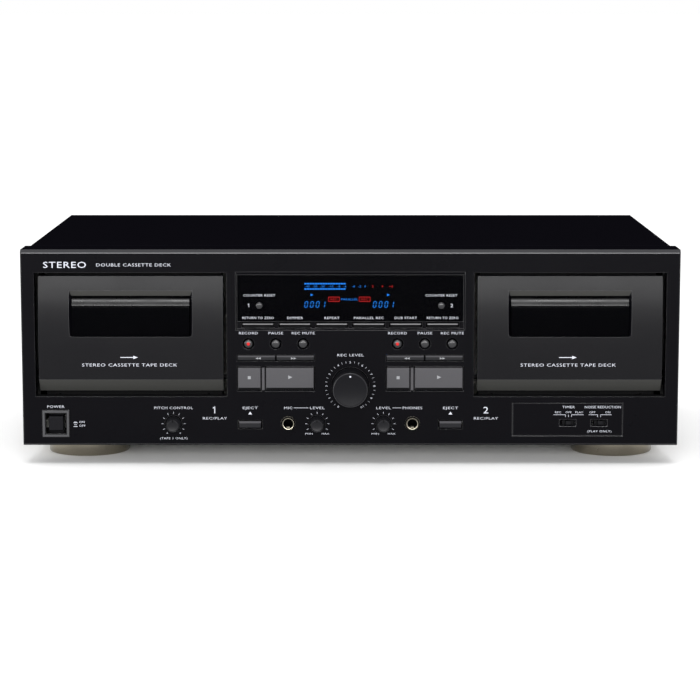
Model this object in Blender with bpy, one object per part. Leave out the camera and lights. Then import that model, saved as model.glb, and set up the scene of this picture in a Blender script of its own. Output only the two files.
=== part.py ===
"""A double cassette deck for a hi-fi rack, built from its separate pieces.

Run it with: blender --background --python part.py

Lengths in this file are millimetres, and become metres as each mesh is made.
X runs to the right as seen from the front, Z runs up from the floor, and the
third number of a place is its depth: how far it lies behind the front face.
The world's Y is that depth plus FACE_Y, so the deck is centred on the origin.
"""

import math

import bmesh
import bpy

METRES_PER_MM = 0.001

# --- Overall size -----------------------------------------------------------
WIDTH = 435.0
HEIGHT = 145.0
KNOB_REACH = 17.5          # the recording level knob stands this far proud
BODY_DEPTH = 259.8         # front face to rear panel
JACK_REACH = 8.0           # the phono sockets stand this far behind the rear
TOTAL_DEPTH = KNOB_REACH + BODY_DEPTH + JACK_REACH
FACE_Y = KNOB_REACH - TOTAL_DEPTH / 2

GAP = 0.35                 # clearance between neighbouring pieces
SHEET = 1.0                # steel thickness
BITE = 1.0                 # how far joined shapes and cutters reach past a face

# --- Front panel ------------------------------------------------------------
PANEL_BOTTOM = 13.9
PANEL_TOP = 144.6
PANEL_DEPTH = 28.0
PANEL_WALL = 3.0
PANEL_FLANGE = 2.2
PAST_WALL = 8.0            # openings are cut to this depth, well behind the wall

# --- Cassette compartments --------------------------------------------------
DECK_X = 145.2             # centre of each compartment from the middle
WELL_HALF_WIDTH = 63.5
WELL_BOTTOM = 46.8
WELL_TOP = 129.6
WELL_RIM_DEPTH = 9.8
WELL_RIM_WALL = 2.0
LUG_HALF_HEIGHT = 5.0
LUG_BACK = 19.0
DOOR_HALF_WIDTH = 61.0
DOOR_BOTTOM = 50.0
DOOR_TOP = 127.3
DOOR_DEPTH = 6.2
DOOR_SKIN = 2.6
DOOR_CHAMFER_TOP = 58.2    # the sloping lower edge of the door ends here
DOOR_CURVE_START = 78.0    # above this height the door leans back
DOOR_CURVE_DEPTH = 3.4
HINGE_DEPTH = 14.5
HINGE_HEIGHT = 58.0
HINGE_PIN_RADIUS = 1.5
HINGE_PIN_PLAY = 0.4
WINDOW_BOTTOM = 87.0
WINDOW_TOP = 113.7
WINDOW_BEVEL = 3.6
LENS_HALF_WIDTH = 38.8
LENS_FRONT = 1.1
LENS_THICKNESS = 2.0
LENS_CURVE_HEIGHT = 8.4
LENS_CURVE_DEPTH = 4.8

# --- Cassette and transport -------------------------------------------------
CASSETTE_HALF_WIDTH = 51.0
HOLDER_WALL = 1.7
HOLDER_TOP = 124.0
SIGHT_HALF_WIDTH = 43.0    # the holder's opening behind the door's window
SIGHT_BOTTOM = 84.0
SIGHT_TOP = 116.5
SLOT_FRONT = 8.2
SLOT_BACK = 20.8
CASSETTE_FLOOR = 63.4
HUB_HEIGHT = 98.0
HUB_HALF_SPACING = 21.25
TRANSPORT_DEPTH = 24.0
TRANSPORT_HALF_WIDTH = 59.0
TRANSPORT_BOTTOM = 38.0
TRANSPORT_TOP = 138.0
CAPSTAN_X = 20.5
CAPSTAN_HEIGHT = 70.0
SPINDLE_HOLE = 3.4
CAPSTAN_HOLE = 1.7
BOSS_RADIUS = 2.4
BOSS_X = 50.0
BOSS_HEIGHTS = (43.2, 133.2)

# --- Display ----------------------------------------------------------------
DISPLAY_HALF_WIDTH = 75.0
DISPLAY_RECESS = 1.5
DISPLAY_TOP = 130.0
DISPLAY_BOTTOM = 92.1
DISPLAY_RIM = 0.8
GLASS_TOP = 127.4
GLASS_BOTTOM = 97.3
BOARD_DEPTH = 14.0

# --- Controls ---------------------------------------------------------------
BAR_PITCH = 24.4
BAR_HALF_WIDTH = 10.7
BAR_HEIGHT = 94.7
BAR_HALF_HEIGHT = 1.5
ROUND_HEIGHT = 82.3
ROUND_RADIUS = 2.85
ROUND_BORE = 3.25
ROUND_DISH = 4.0
ROUND_PLACES = {1: (-67.4, -49.3, -31.2), 2: (31.2, 49.3, 67.4)}
KEY_BLOCK_LEFT = {1: -75.0, 2: 23.5}
KEY_BLOCK_WIDTH = 51.5
WIND_BOTTOM = 71.0
WIND_TOP = 74.4
KEY_BOTTOM = 51.4
KEY_TOP = 66.4
DIVIDER_LEFT = 16.3        # from the left of its key block
DIVIDER_RIGHT = 18.5
DIVIDER_PROUD = 1.6
LOWER_ROW = 28.7           # height of the small knobs, jacks and power key
EJECT_X = 66.5
EJECT_HALF_WIDTH = 7.45
EJECT_BELOW = 2.9          # the eject key's edges, from the row's height
EJECT_ABOVE = 1.9
JACK_X = 41.2
JACK_HOLE = 4.8
SMALL_DISH = 5.8
MAIN_DISH = 12.9
SMALL_KNOB_X = {"pitch_knob": -117.4, "mic_level_knob": -22.0, "phones_level_knob": 22.0}
RESET_X = 60.1
RESET_HEIGHT = 107.7
RESET_RADIUS = 2.4
POWER_X = -195.6
POWER_HALF = 4.9
POWER_OPENING_HALF = 7.0
POWER_FRAME_HALF = 9.0
POWER_FRAME_PROUD = 0.9
POWER_TRAVEL = 3.0         # the key is latched in, and springs out this far
SWITCH_HEIGHT = 29.2
SWITCH_X = {"timer_switch": 144.9, "noise_reduction_switch": 166.2}
SLOT_X = (144.4, 165.2)
SLOT_HALF_WIDTH = 4.6
SLOT_HALF_HEIGHT = 1.6
GROOVE_SIDES = (107.4, 181.0)
GROOVE_HEIGHTS = (20.3, 42.8)
GROOVE_WIDTH = 0.6
GROOVE_DEPTH = 0.4
MAIN_KNOB_HEIGHT = 53.9

# --- Feet and case ----------------------------------------------------------
FOOT_X = 180.0
FOOT_RADIUS = 27.6
FOOT_DEPTHS = {"front": 62.0, "rear": 222.0}
CHASSIS_BOTTOM = 14.3
COVER_HALF_WIDTH = 214.8
INLET_X = -170.0
INLET_HEIGHT = 44.0
INLET_HALF_WIDTH = 8.6
INLET_HALF_HEIGHT = 4.7
INLET_DEPTH = 12.0
INLET_WALL = 3.4
PHONO_X = (52.0, 70.0)
PHONO_HEIGHTS = (36.0, 50.0)
PHONO_RADIUS = 4.15
PHONO_HOLE = 5.6

# Finish of each material: colour, roughness and metallic value.
MATERIALS = {
    "panel_black": ((0.012, 0.012, 0.014), 0.42, 0.0),
    "door_black": ((0.022, 0.022, 0.025), 0.36, 0.0),
    "smoked_plastic": ((0.01, 0.01, 0.012), 0.08, 0.0),
    "cover_paint": ((0.008, 0.008, 0.009), 0.5, 0.2),
    "plated_steel": ((0.42, 0.42, 0.40), 0.35, 1.0),
    "key_grey": ((0.10, 0.10, 0.11), 0.38, 0.2),
    "knob_black": ((0.02, 0.02, 0.023), 0.38, 0.0),
    "champagne": ((0.42, 0.37, 0.28), 0.25, 1.0),
    "nickel": ((0.55, 0.52, 0.45), 0.25, 1.0),
    "board_green": ((0.03, 0.16, 0.07), 0.5, 0.0),
    "mechanism_plastic": ((0.03, 0.03, 0.032), 0.55, 0.0),
}


# --- Mesh helpers -----------------------------------------------------------

def clear_scene():
    for obj in list(bpy.data.objects):
        bpy.data.objects.remove(obj)


def make_materials():
    """One Principled material for each finish in the table above."""
    made = {}
    for name, (colour, roughness, metallic) in MATERIALS.items():
        material = bpy.data.materials.new(name)
        material.use_nodes = True
        shader = material.node_tree.nodes["Principled BSDF"]
        shader.inputs["Base Color"].default_value = (*colour, 1.0)
        shader.inputs["Roughness"].default_value = roughness
        shader.inputs["Metallic"].default_value = metallic
        made[name] = material
    return made


def span(x0, x1, z0, z1):
    """A rectangle in the plane of the front face, as (x, z) corners."""
    return [(x0, z0), (x1, z0), (x1, z1), (x0, z1)]


def circle(x, z, radius, sides):
    return [
        (x + radius * math.sin(turn), z + radius * math.cos(turn))
        for turn in (2 * math.pi * i / sides for i in range(sides))
    ]


def notched_circle(x, z, radius, sides, notch):
    """A circle whose topmost point dips inwards by notch, as a pointer groove."""
    ring = circle(x, z, radius, sides)
    ring[0] = (x, z + radius - notch)
    return ring


def skin(mesh, rings):
    """Joins rings of equal length into one closed skin, capped at both ends."""
    made = [[mesh.verts.new(point) for point in ring] for ring in rings]
    count = len(made[0])
    for first, second in zip(made, made[1:]):
        for i in range(count):
            j = (i + 1) % count
            mesh.faces.new((first[i], first[j], second[j], second[i]))
    mesh.faces.new(made[0])
    mesh.faces.new(reversed(made[-1]))


def hoop(mesh, rings):
    """Joins rings of equal length one after another and back to the first."""
    made = [[mesh.verts.new(point) for point in ring] for ring in rings]
    count = len(made[0])
    for first, second in zip(made, made[1:] + made[:1]):
        for i in range(count):
            j = (i + 1) % count
            mesh.faces.new((first[i], first[j], second[j], second[i]))


def loft(mesh, sections):
    """A solid whose cross-section at each depth is the given (x, z) outline."""
    skin(mesh, [[(x, depth, z) for x, z in outline] for depth, outline in sections])


def bar(mesh, x0, x1, profile):
    """A solid of one (depth, height) profile, running from x0 to x1."""
    skin(mesh, [[(x, depth, height) for depth, height in profile] for x in (x0, x1)])


def box(mesh, x0, x1, d0, d1, z0, z1):
    loft(mesh, [(d0, span(x0, x1, z0, z1)), (d1, span(x0, x1, z0, z1))])


def rod(mesh, x, z, radius, sides, front, back):
    """A round solid that runs front to back."""
    loft(mesh, [(front, circle(x, z, radius, sides)), (back, circle(x, z, radius, sides))])


def mirrored(centre, hand, near, far):
    """The two x of something near to far from a centre, on the hand's side."""
    return sorted((centre + hand * near, centre + hand * far))


def turned(mesh, centre, profile, sides, upright=False):
    """A turned solid from (distance along the axis, radius) pairs.

    The axis runs through centre, front to back, or upwards when upright is set.
    The first and the last radius are 0 and become single points.
    """
    x, depth, z = centre

    def place(along, radius, angle):
        across, other = radius * math.cos(angle), radius * math.sin(angle)
        if upright:
            return (x + across, depth + other, z + along)
        return (x + across, depth + along, z + other)

    rings = []
    for along, radius in profile[1:-1]:
        rings.append([
            mesh.verts.new(place(along, radius, 2 * math.pi * i / sides))
            for i in range(sides)
        ])
    for first, second in zip(rings, rings[1:]):
        for i in range(sides):
            j = (i + 1) % sides
            mesh.faces.new((first[i], first[j], second[j], second[i]))
    for ring, along in ((rings[0], profile[0][0]), (rings[-1], profile[-1][0])):
        pole = mesh.verts.new(place(along, 0.0, 0.0))
        for i in range(sides):
            mesh.faces.new((pole, ring[i], ring[(i + 1) % sides]))


def world(point):
    """World metres from (x, depth, height) in millimetres."""
    x, depth, height = point
    return (
        x * METRES_PER_MM,
        (depth + FACE_Y) * METRES_PER_MM,
        height * METRES_PER_MM,
    )


def to_object(name, mesh, material, origin=(0.0, 0.0, 0.0), parent=None):
    """Turns the millimetre mesh into an object whose origin is at that place."""
    bmesh.ops.recalc_face_normals(mesh, faces=mesh.faces)
    base = world(origin)
    for vertex in mesh.verts:
        placed = world(vertex.co)
        vertex.co = [placed[i] - base[i] for i in range(3)]
    data = bpy.data.meshes.new(name)
    mesh.to_mesh(data)
    mesh.free()
    data.shade_smooth()
    data.set_sharp_from_angle(angle=math.radians(32))
    data.materials.append(material)
    obj = bpy.data.objects.new(name, data)
    bpy.context.scene.collection.objects.link(obj)
    obj.location = base
    if parent is not None:
        obj.parent = parent
        obj.location = [base[i] - parent.location[i] for i in range(3)]
    return obj


def pivot(name, place):
    """An empty on a joint's axis, for the pieces that swing together."""
    empty = bpy.data.objects.new(name, None)
    bpy.context.scene.collection.objects.link(empty)
    empty.location = world(place)
    return empty


def combine(target, mesh, operation):
    """Cuts the millimetre mesh out of target, or joins it on."""
    bmesh.ops.recalc_face_normals(mesh, faces=mesh.faces)
    for vertex in mesh.verts:
        vertex.co = world(vertex.co)
    data = bpy.data.meshes.new(f"{target.name}_{operation.lower()}")
    mesh.to_mesh(data)
    mesh.free()
    helper = bpy.data.objects.new(data.name, data)
    bpy.context.scene.collection.objects.link(helper)
    helper.hide_render = True
    helper.display_type = "WIRE"
    modifier = target.modifiers.new(operation.title(), "BOOLEAN")
    modifier.object = helper
    modifier.operation = operation


def cut(target, mesh):
    combine(target, mesh, "DIFFERENCE")


def join(target, mesh):
    combine(target, mesh, "UNION")


# --- Front panel ------------------------------------------------------------

def panel_shell(material):
    """The moulded front: a bevelled plate with a flange all round its back."""
    half = WIDTH / 2
    mesh = bmesh.new()
    top_bevel, bottom_bevel, side_bevel, bevel_depth = 2.3, 1.3, 0.6, 2.0
    loft(mesh, [
        (0.0, span(side_bevel - half, half - side_bevel,
                   PANEL_BOTTOM + bottom_bevel, PANEL_TOP - top_bevel)),
        (side_bevel, span(-half, half, PANEL_BOTTOM + 0.7, PANEL_TOP - 1.6)),
        (bevel_depth, span(-half, half, PANEL_BOTTOM, PANEL_TOP)),
        (PANEL_DEPTH, span(-half, half, PANEL_BOTTOM, PANEL_TOP)),
    ])
    panel = to_object("front_panel", mesh, material)
    hollow = bmesh.new()
    box(hollow, PANEL_FLANGE - half, half - PANEL_FLANGE, PANEL_WALL, PANEL_DEPTH + 5,
        PANEL_BOTTOM + PANEL_FLANGE, PANEL_TOP - PANEL_FLANGE)
    cut(panel, hollow)
    return panel


def add_well_rims(panel):
    """A collar behind each compartment opening, with lugs for the door's pins."""
    rims, lugs, bosses = bmesh.new(), bmesh.new(), bmesh.new()
    outer = WELL_HALF_WIDTH + WELL_RIM_WALL
    for side in (-1, 1):
        centre = side * DECK_X
        box(rims, centre - outer, centre + outer, PANEL_WALL - BITE, WELL_RIM_DEPTH,
            WELL_BOTTOM - WELL_RIM_WALL, WELL_TOP + WELL_RIM_WALL)
        for hand in (-1, 1):
            box(lugs, *mirrored(centre, hand, WELL_HALF_WIDTH - BITE, outer),
                WELL_RIM_DEPTH - BITE, LUG_BACK,
                HINGE_HEIGHT - LUG_HALF_HEIGHT, HINGE_HEIGHT + LUG_HALF_HEIGHT)
            for height in BOSS_HEIGHTS:
                rod(bosses, centre + hand * BOSS_X, height, BOSS_RADIUS, 8,
                    PANEL_WALL - BITE, TRANSPORT_DEPTH - GAP)
    join(panel, rims)
    join(panel, lugs)
    join(panel, bosses)


def cut_wells(panel):
    """The two compartments, and the holes for the doors' pins in their lugs."""
    wells, bores = bmesh.new(), bmesh.new()
    bore_end = WELL_HALF_WIDTH + WELL_RIM_WALL + BITE
    for side in (-1, 1):
        centre = side * DECK_X
        box(wells, centre - WELL_HALF_WIDTH, centre + WELL_HALF_WIDTH, -BITE,
            PANEL_DEPTH + BITE, WELL_BOTTOM, WELL_TOP)
        for hand in (-1, 1):
            bar(bores, *mirrored(centre, hand, WELL_HALF_WIDTH - BITE, bore_end),
                circle(HINGE_DEPTH, HINGE_HEIGHT, HINGE_PIN_RADIUS + HINGE_PIN_PLAY, 12))
    cut(panel, wells)
    cut(panel, bores)


def cut_display(panel):
    """The shallow recess with a bevelled rim, and what goes through its floor."""
    recess = bmesh.new()
    half = DISPLAY_HALF_WIDTH
    rim = span(-half - DISPLAY_RIM, half + DISPLAY_RIM, DISPLAY_BOTTOM - DISPLAY_RIM, DISPLAY_TOP)
    loft(recess, [
        (-BITE, rim),
        (0.0, rim),
        (DISPLAY_RECESS, span(-half, half, DISPLAY_BOTTOM, GLASS_TOP + 2 * GAP)),
    ])
    cut(panel, recess)
    through = bmesh.new()
    front = DISPLAY_RECESS - BITE
    box(through, GAP - half, half - GAP, front, PAST_WALL, GLASS_BOTTOM - GAP, GLASS_TOP + GAP)
    reach, rise = BAR_HALF_WIDTH + GAP, BAR_HALF_HEIGHT + GAP
    for x in bar_places():
        box(through, x - reach, x + reach, front, PAST_WALL, BAR_HEIGHT - rise, BAR_HEIGHT + rise)
    cut(panel, through)


def add_funnel(mesh, wide, narrow, chamfer):
    """A cutter with one outline at the face, and a smaller one from chamfer inwards."""
    loft(mesh, [(-BITE, wide), (0.0, wide), (chamfer, narrow), (PAST_WALL, narrow)])


def add_dish(mesh, x, z, radius, floor, hole, sides):
    """A cutter for a round recess in the face, with a shaft hole in its floor."""
    draft = 0.4
    loft(mesh, [(-BITE, circle(x, z, radius, sides)), (0.0, circle(x, z, radius, sides)),
                (floor, circle(x, z, radius - draft, sides)),
                (floor, circle(x, z, hole, sides)), (PAST_WALL, circle(x, z, hole, sides))])


def add_button_dishes(mesh):
    """Round dishes with a straight bore, for the record, pause and mute buttons."""
    for places in ROUND_PLACES.values():
        for x in places:
            dish, bore = (circle(x, ROUND_HEIGHT, r, 16) for r in (ROUND_DISH, ROUND_BORE))
            loft(mesh, [(-BITE, dish), (0.3, dish), (1.6, bore), (PAST_WALL, bore)])


def add_key_openings(mesh):
    """The openings for the winding keys and, under them, the stop and play keys."""
    foot, rise = KEY_BOTTOM - 0.4, KEY_TOP + 0.9
    chamfer = 0.7
    for left in KEY_BLOCK_LEFT.values():
        right = left + KEY_BLOCK_WIDTH
        box(mesh, left, right, -BITE, PAST_WALL, WIND_BOTTOM - 0.5, WIND_TOP + 0.7)
        for x0, x1 in ((left, left + DIVIDER_LEFT), (left + DIVIDER_RIGHT, right)):
            add_funnel(mesh, span(x0, x1, foot - 0.6, rise), span(x0, x1, foot, rise), chamfer)


def cut_control_openings(panel):
    mesh = bmesh.new()
    add_button_dishes(mesh)
    add_key_openings(mesh)
    eject_half = EJECT_HALF_WIDTH + 2 * GAP
    for side in (-1, 1):
        x = side * EJECT_X
        box(mesh, x - eject_half, x + eject_half, -BITE, PAST_WALL,
            LOWER_ROW - EJECT_BELOW - 2 * GAP, LOWER_ROW + EJECT_ABOVE + 2 * GAP)
        rod(mesh, side * JACK_X, LOWER_ROW, JACK_HOLE, 16, -BITE, PAST_WALL)
    for x in SMALL_KNOB_X.values():
        add_dish(mesh, x, LOWER_ROW, SMALL_DISH, 1.0, 2.4, 24)
    add_dish(mesh, 0.0, MAIN_KNOB_HEIGHT, MAIN_DISH, 1.5, 3.5, 40)
    half = POWER_OPENING_HALF
    box(mesh, POWER_X - half, POWER_X + half, -POWER_FRAME_PROUD - BITE, PAST_WALL,
        LOWER_ROW - half, LOWER_ROW + half)
    cut(panel, mesh)


def cut_switch_field(panel):
    """The two chamfered switch slots, inside a fine engraved rectangle."""
    slots = bmesh.new()
    chamfer = 1.0
    for x in SLOT_X:
        wide, low = SLOT_HALF_WIDTH + chamfer, SLOT_HALF_HEIGHT + 0.8
        add_funnel(slots, span(x - wide, x + wide, SWITCH_HEIGHT - low, SWITCH_HEIGHT + low),
                   span(x - SLOT_HALF_WIDTH, x + SLOT_HALF_WIDTH,
                        SWITCH_HEIGHT - SLOT_HALF_HEIGHT, SWITCH_HEIGHT + SLOT_HALF_HEIGHT), chamfer)
    cut(panel, slots)
    groove = bmesh.new()
    (left, right), (bottom, top) = GROOVE_SIDES, GROOVE_HEIGHTS

    def ring(depth, inset):
        outline = span(left + inset, right - inset, bottom + inset, top - inset)
        return [(x, depth, z) for x, z in outline]
    hoop(groove, [ring(-BITE, 0.0), ring(0.0, 0.0), ring(GROOVE_DEPTH, GROOVE_WIDTH / 2),
                  ring(0.0, GROOVE_WIDTH), ring(-BITE, GROOVE_WIDTH)])
    cut(panel, groove)


def add_key_dividers(panel):
    """The fixed bar between each stop key and its play key."""
    dividers = bmesh.new()
    for left in KEY_BLOCK_LEFT.values():
        box(dividers, left + DIVIDER_LEFT + 0.3, left + DIVIDER_RIGHT - 0.3,
            -DIVIDER_PROUD, BITE, KEY_BOTTOM + 0.2, KEY_TOP - 0.2)
    join(panel, dividers)


def front_panel(materials):
    panel = panel_shell(materials["panel_black"])
    add_well_rims(panel)
    frame = bmesh.new()
    half = POWER_FRAME_HALF
    box(frame, POWER_X - half, POWER_X + half, -POWER_FRAME_PROUD, BITE,
        LOWER_ROW - half, LOWER_ROW + half)
    join(panel, frame)
    cut_wells(panel)
    cut_display(panel)
    cut_control_openings(panel)
    cut_switch_field(panel)
    add_key_dividers(panel)


# --- Case -------------------------------------------------------------------

def top_cover(materials):
    """A folded steel cover: a roof and two sides, open below and at both ends."""
    mesh = bmesh.new()
    outer, inner = COVER_HALF_WIDTH, COVER_HALF_WIDTH - SHEET
    roof, ceiling, hem = HEIGHT, HEIGHT - SHEET, CHASSIS_BOTTOM + 0.4
    bend = 1.4
    outline = [
        (-outer, hem), (-outer, roof - bend), (bend - outer, roof),
        (outer - bend, roof), (outer, roof - bend), (outer, hem),
        (inner, hem), (inner, ceiling - 0.6), (inner - 0.6, ceiling),
        (0.6 - inner, ceiling), (-inner, ceiling - 0.6), (-inner, hem),
    ]
    loft(mesh, [(PANEL_DEPTH + GAP, outline), (BODY_DEPTH, outline)])
    to_object("top_cover", mesh, materials["cover_paint"])


def bottom_chassis(materials):
    """A steel tray with a turned-up edge, and pillars for the main board."""
    half = COVER_HALF_WIDTH - SHEET - GAP
    front, back = PANEL_DEPTH + GAP, BODY_DEPTH
    mesh = bmesh.new()
    box(mesh, -half, half, front, back, CHASSIS_BOTTOM, CHASSIS_BOTTOM + 12)
    tray = to_object("bottom_chassis", mesh, materials["plated_steel"])
    hollow = bmesh.new()
    box(hollow, SHEET - half, half - SHEET, front + SHEET, back - SHEET,
        CHASSIS_BOTTOM + SHEET, CHASSIS_BOTTOM + 20)
    cut(tray, hollow)
    pillars = bmesh.new()
    for x in (-78.0, 78.0):
        for depth in (124.0, 240.0):
            turned(pillars, (x, depth, CHASSIS_BOTTOM + 0.6),
                   [(0, 0), (0, 3.0), (7.0, 3.0), (7.0, 0)], 8, upright=True)
    join(tray, pillars)


def rear_panel(materials):
    """The steel back, with holes for the phono sockets and a mains inlet."""
    half = COVER_HALF_WIDTH - 2 * (SHEET + GAP)
    outside = BODY_DEPTH - SHEET - GAP
    mesh = bmesh.new()
    box(mesh, -half, half, outside - SHEET, outside,
        CHASSIS_BOTTOM + SHEET + GAP, HEIGHT - SHEET - GAP)
    panel = to_object("rear_panel", mesh, materials["plated_steel"])
    across, rise = INLET_HALF_WIDTH + INLET_WALL, INLET_HALF_HEIGHT + INLET_WALL
    inlet = bmesh.new()
    box(inlet, INLET_X - across, INLET_X + across, outside - INLET_DEPTH - 2 * SHEET,
        outside + 1.0, INLET_HEIGHT - rise, INLET_HEIGHT + rise)
    join(panel, inlet)
    holes = bmesh.new()
    for x, z in phono_places():
        rod(holes, x, z, PHONO_HOLE, 16, outside - SHEET - BITE, outside + BITE)
    box(holes, INLET_X - INLET_HALF_WIDTH, INLET_X + INLET_HALF_WIDTH,
        outside - INLET_DEPTH, outside + 2 * BITE,
        INLET_HEIGHT - INLET_HALF_HEIGHT, INLET_HEIGHT + INLET_HALF_HEIGHT)
    cut(panel, holes)


def phono_places():
    """Four phono sockets in two rows: line in, line out, left and right."""
    return [(x, z) for x in PHONO_X for z in PHONO_HEIGHTS]


def feet(materials):
    """Round feet with a metal-look skirt and a rubber sole."""
    top = CHASSIS_BOTTOM - 0.3
    profile = [(0.0, 0.0), (0.0, 23.0), (0.8, 23.0), (0.8, FOOT_RADIUS - 0.6),
               (1.4, FOOT_RADIUS), (top, FOOT_RADIUS), (top, 0.0)]
    for row, depth in FOOT_DEPTHS.items():
        for hand, side in (("left", -1), ("right", 1)):
            mesh = bmesh.new()
            centre = (side * FOOT_X, depth, 0.0)
            turned(mesh, centre, profile, 28, upright=True)
            to_object(f"foot_{row}_{hand}", mesh, materials["champagne"], centre)


# --- Boards -----------------------------------------------------------------

def main_board(materials):
    """The main circuit board with its soldered transformer, heat sink and jacks."""
    underside = CHASSIS_BOTTOM + 7.6 + GAP
    mesh = bmesh.new()
    box(mesh, -84.0, 84.0, 118.0, BODY_DEPTH - 6.0, underside, underside + 1.6)
    board = to_object("main_board", mesh, materials["board_green"])
    parts = bmesh.new()
    on_board = underside + 1.0
    box(parts, -74.0, -22.0, 150.0, 192.0, on_board, 68.0)           # transformer
    box(parts, 0.0, 36.0, 160.0, 168.0, on_board, 58.0)              # heat sink
    for x in (-8.0, 12.0):
        turned(parts, (x, 204.0, on_board), [(0, 0), (0, 8), (30, 8), (30, 0)], 12, upright=True)
    box(parts, 44.0, 78.0, 238.0, BODY_DEPTH - 3.2, on_board, 58.0)  # phono block
    join(board, parts)
    barrels = bmesh.new()
    reach = BODY_DEPTH + JACK_REACH
    for x, z in phono_places():
        rod(barrels, x, z, PHONO_RADIUS, 16, BODY_DEPTH - 5.0, reach)
    join(board, barrels)


def display_board(materials):
    """The board behind the display, with the display tube soldered to it."""
    mesh = bmesh.new()
    box(mesh, -77.5, 77.5, BOARD_DEPTH, BOARD_DEPTH + 1.6, 47.0, 131.0)
    board = to_object("display_board", mesh, materials["board_green"])
    tube = bmesh.new()
    box(tube, -38.0, 38.0, 5.2, BOARD_DEPTH + 0.8, 100.0, 126.0)
    join(board, tube)


def display_window(materials):
    """The black window over the display, with a hole for each reset button."""
    mesh = bmesh.new()
    half = DISPLAY_HALF_WIDTH - 2 * GAP
    box(mesh, -half, half, DISPLAY_RECESS - 0.4, DISPLAY_RECESS + 1.8, GLASS_BOTTOM, GLASS_TOP)
    window = to_object("display_window", mesh, materials["smoked_plastic"])
    holes = bmesh.new()
    for x in (-RESET_X, RESET_X):
        rod(holes, x, RESET_HEIGHT, RESET_RADIUS + 0.4, 16, 0.0, PAST_WALL)
    cut(window, holes)


# --- Doors ------------------------------------------------------------------

def door_face(height):
    """How far the front of the door lies behind the front panel's face."""
    above = max(0.0, height - DOOR_CURVE_START) / (DOOR_TOP - DOOR_CURVE_START)
    return DOOR_CURVE_DEPTH * above ** 2


def door_profile(inset):
    """The front of the door from bottom to top, moved back by inset."""
    points = [(DOOR_DEPTH - 0.3 + inset, DOOR_BOTTOM), (inset, DOOR_CHAMFER_TOP)]
    steps = 7
    for i in range(steps + 1):
        height = DOOR_CURVE_START + (DOOR_TOP - 0.5 - DOOR_CURVE_START) * i / steps
        points.append((door_face(height) + inset, height))
    return points


def door(deck, centre, hinge, materials):
    """The moulded door: a thin skin with a lip all round its back."""
    mesh = bmesh.new()
    left, right = centre - DOOR_HALF_WIDTH, centre + DOOR_HALF_WIDTH
    top_edge = [(door_face(DOOR_TOP) + 0.6, DOOR_TOP), (DOOR_DEPTH, DOOR_TOP), (DOOR_DEPTH, DOOR_BOTTOM)]
    bar(mesh, left, right, door_profile(0.0) + top_edge)
    made = to_object(f"door_{deck}", mesh, materials["door_black"], hinge_place(centre), hinge)
    hollow = bmesh.new()
    lip = 1.8
    inside = [point for point in door_profile(DOOR_SKIN) if DOOR_CHAMFER_TOP <= point[1] < DOOR_TOP - lip]
    top, bottom = (DOOR_DEPTH + 3, inside[-1][1]), (DOOR_DEPTH + 3, inside[0][1])
    bar(hollow, left + lip, right - lip, inside + [top, bottom])
    cut(made, hollow)
    cut(made, window_cutter(centre))
    return made


def window_cutter(centre):
    """The door's window opening: bevelled above and beside, with round lower corners."""
    mesh = bmesh.new()
    side, foot, bevel_depth, corner, corner_steps = 1.5, 0.3, 2.2, 0.6, 4
    half_width = LENS_HALF_WIDTH + GAP

    def outline(grow):
        half, low = half_width + side * grow, WINDOW_BOTTOM - foot * grow
        radius = corner + side * grow
        points = []
        for hand, start in ((-1, 1.0), (1, 1.5)):
            for i in range(corner_steps + 1):
                turn = math.pi * (start + 0.5 * i / corner_steps)
                points.append((centre + hand * (half - radius) + radius * math.cos(turn),
                               low + radius + radius * math.sin(turn)))
        high = WINDOW_TOP + WINDOW_BEVEL * grow
        return points + [(centre + half, high), (centre - half, high)]

    def ring(offset, grow):
        """The outline, laid along the leaning face of the door at that offset."""
        return [(x, door_face(height) + offset, height) for x, height in outline(grow)]
    through = [(x, DOOR_DEPTH + PAST_WALL, height) for x, height in outline(0.0)]
    skin(mesh, [ring(-bevel_depth, 2.0), ring(bevel_depth, 0.0), through])
    return mesh


def lens_profile(inset):
    """The front of the window, flat below and rolling back at the top."""
    points = [(LENS_FRONT + inset, WINDOW_BOTTOM + GAP)]
    steps = 9
    crest = WINDOW_TOP - 2 * GAP
    for i in range(steps + 1):
        turn = 0.5 * math.pi * i / steps
        rise = (LENS_CURVE_HEIGHT - inset) * math.sin(turn)
        back = (LENS_CURVE_DEPTH - inset) * (1 - math.cos(turn))
        points.append((LENS_FRONT + inset + back, crest - LENS_CURVE_HEIGHT + rise))
    return points


def door_window(deck, centre, hinge, materials):
    mesh = bmesh.new()
    profile = lens_profile(0.0) + lens_profile(LENS_THICKNESS)[::-1]
    bar(mesh, centre - LENS_HALF_WIDTH, centre + LENS_HALF_WIDTH, profile)
    to_object(f"door_window_{deck}", mesh, materials["smoked_plastic"], hinge_place(centre), hinge)


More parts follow.
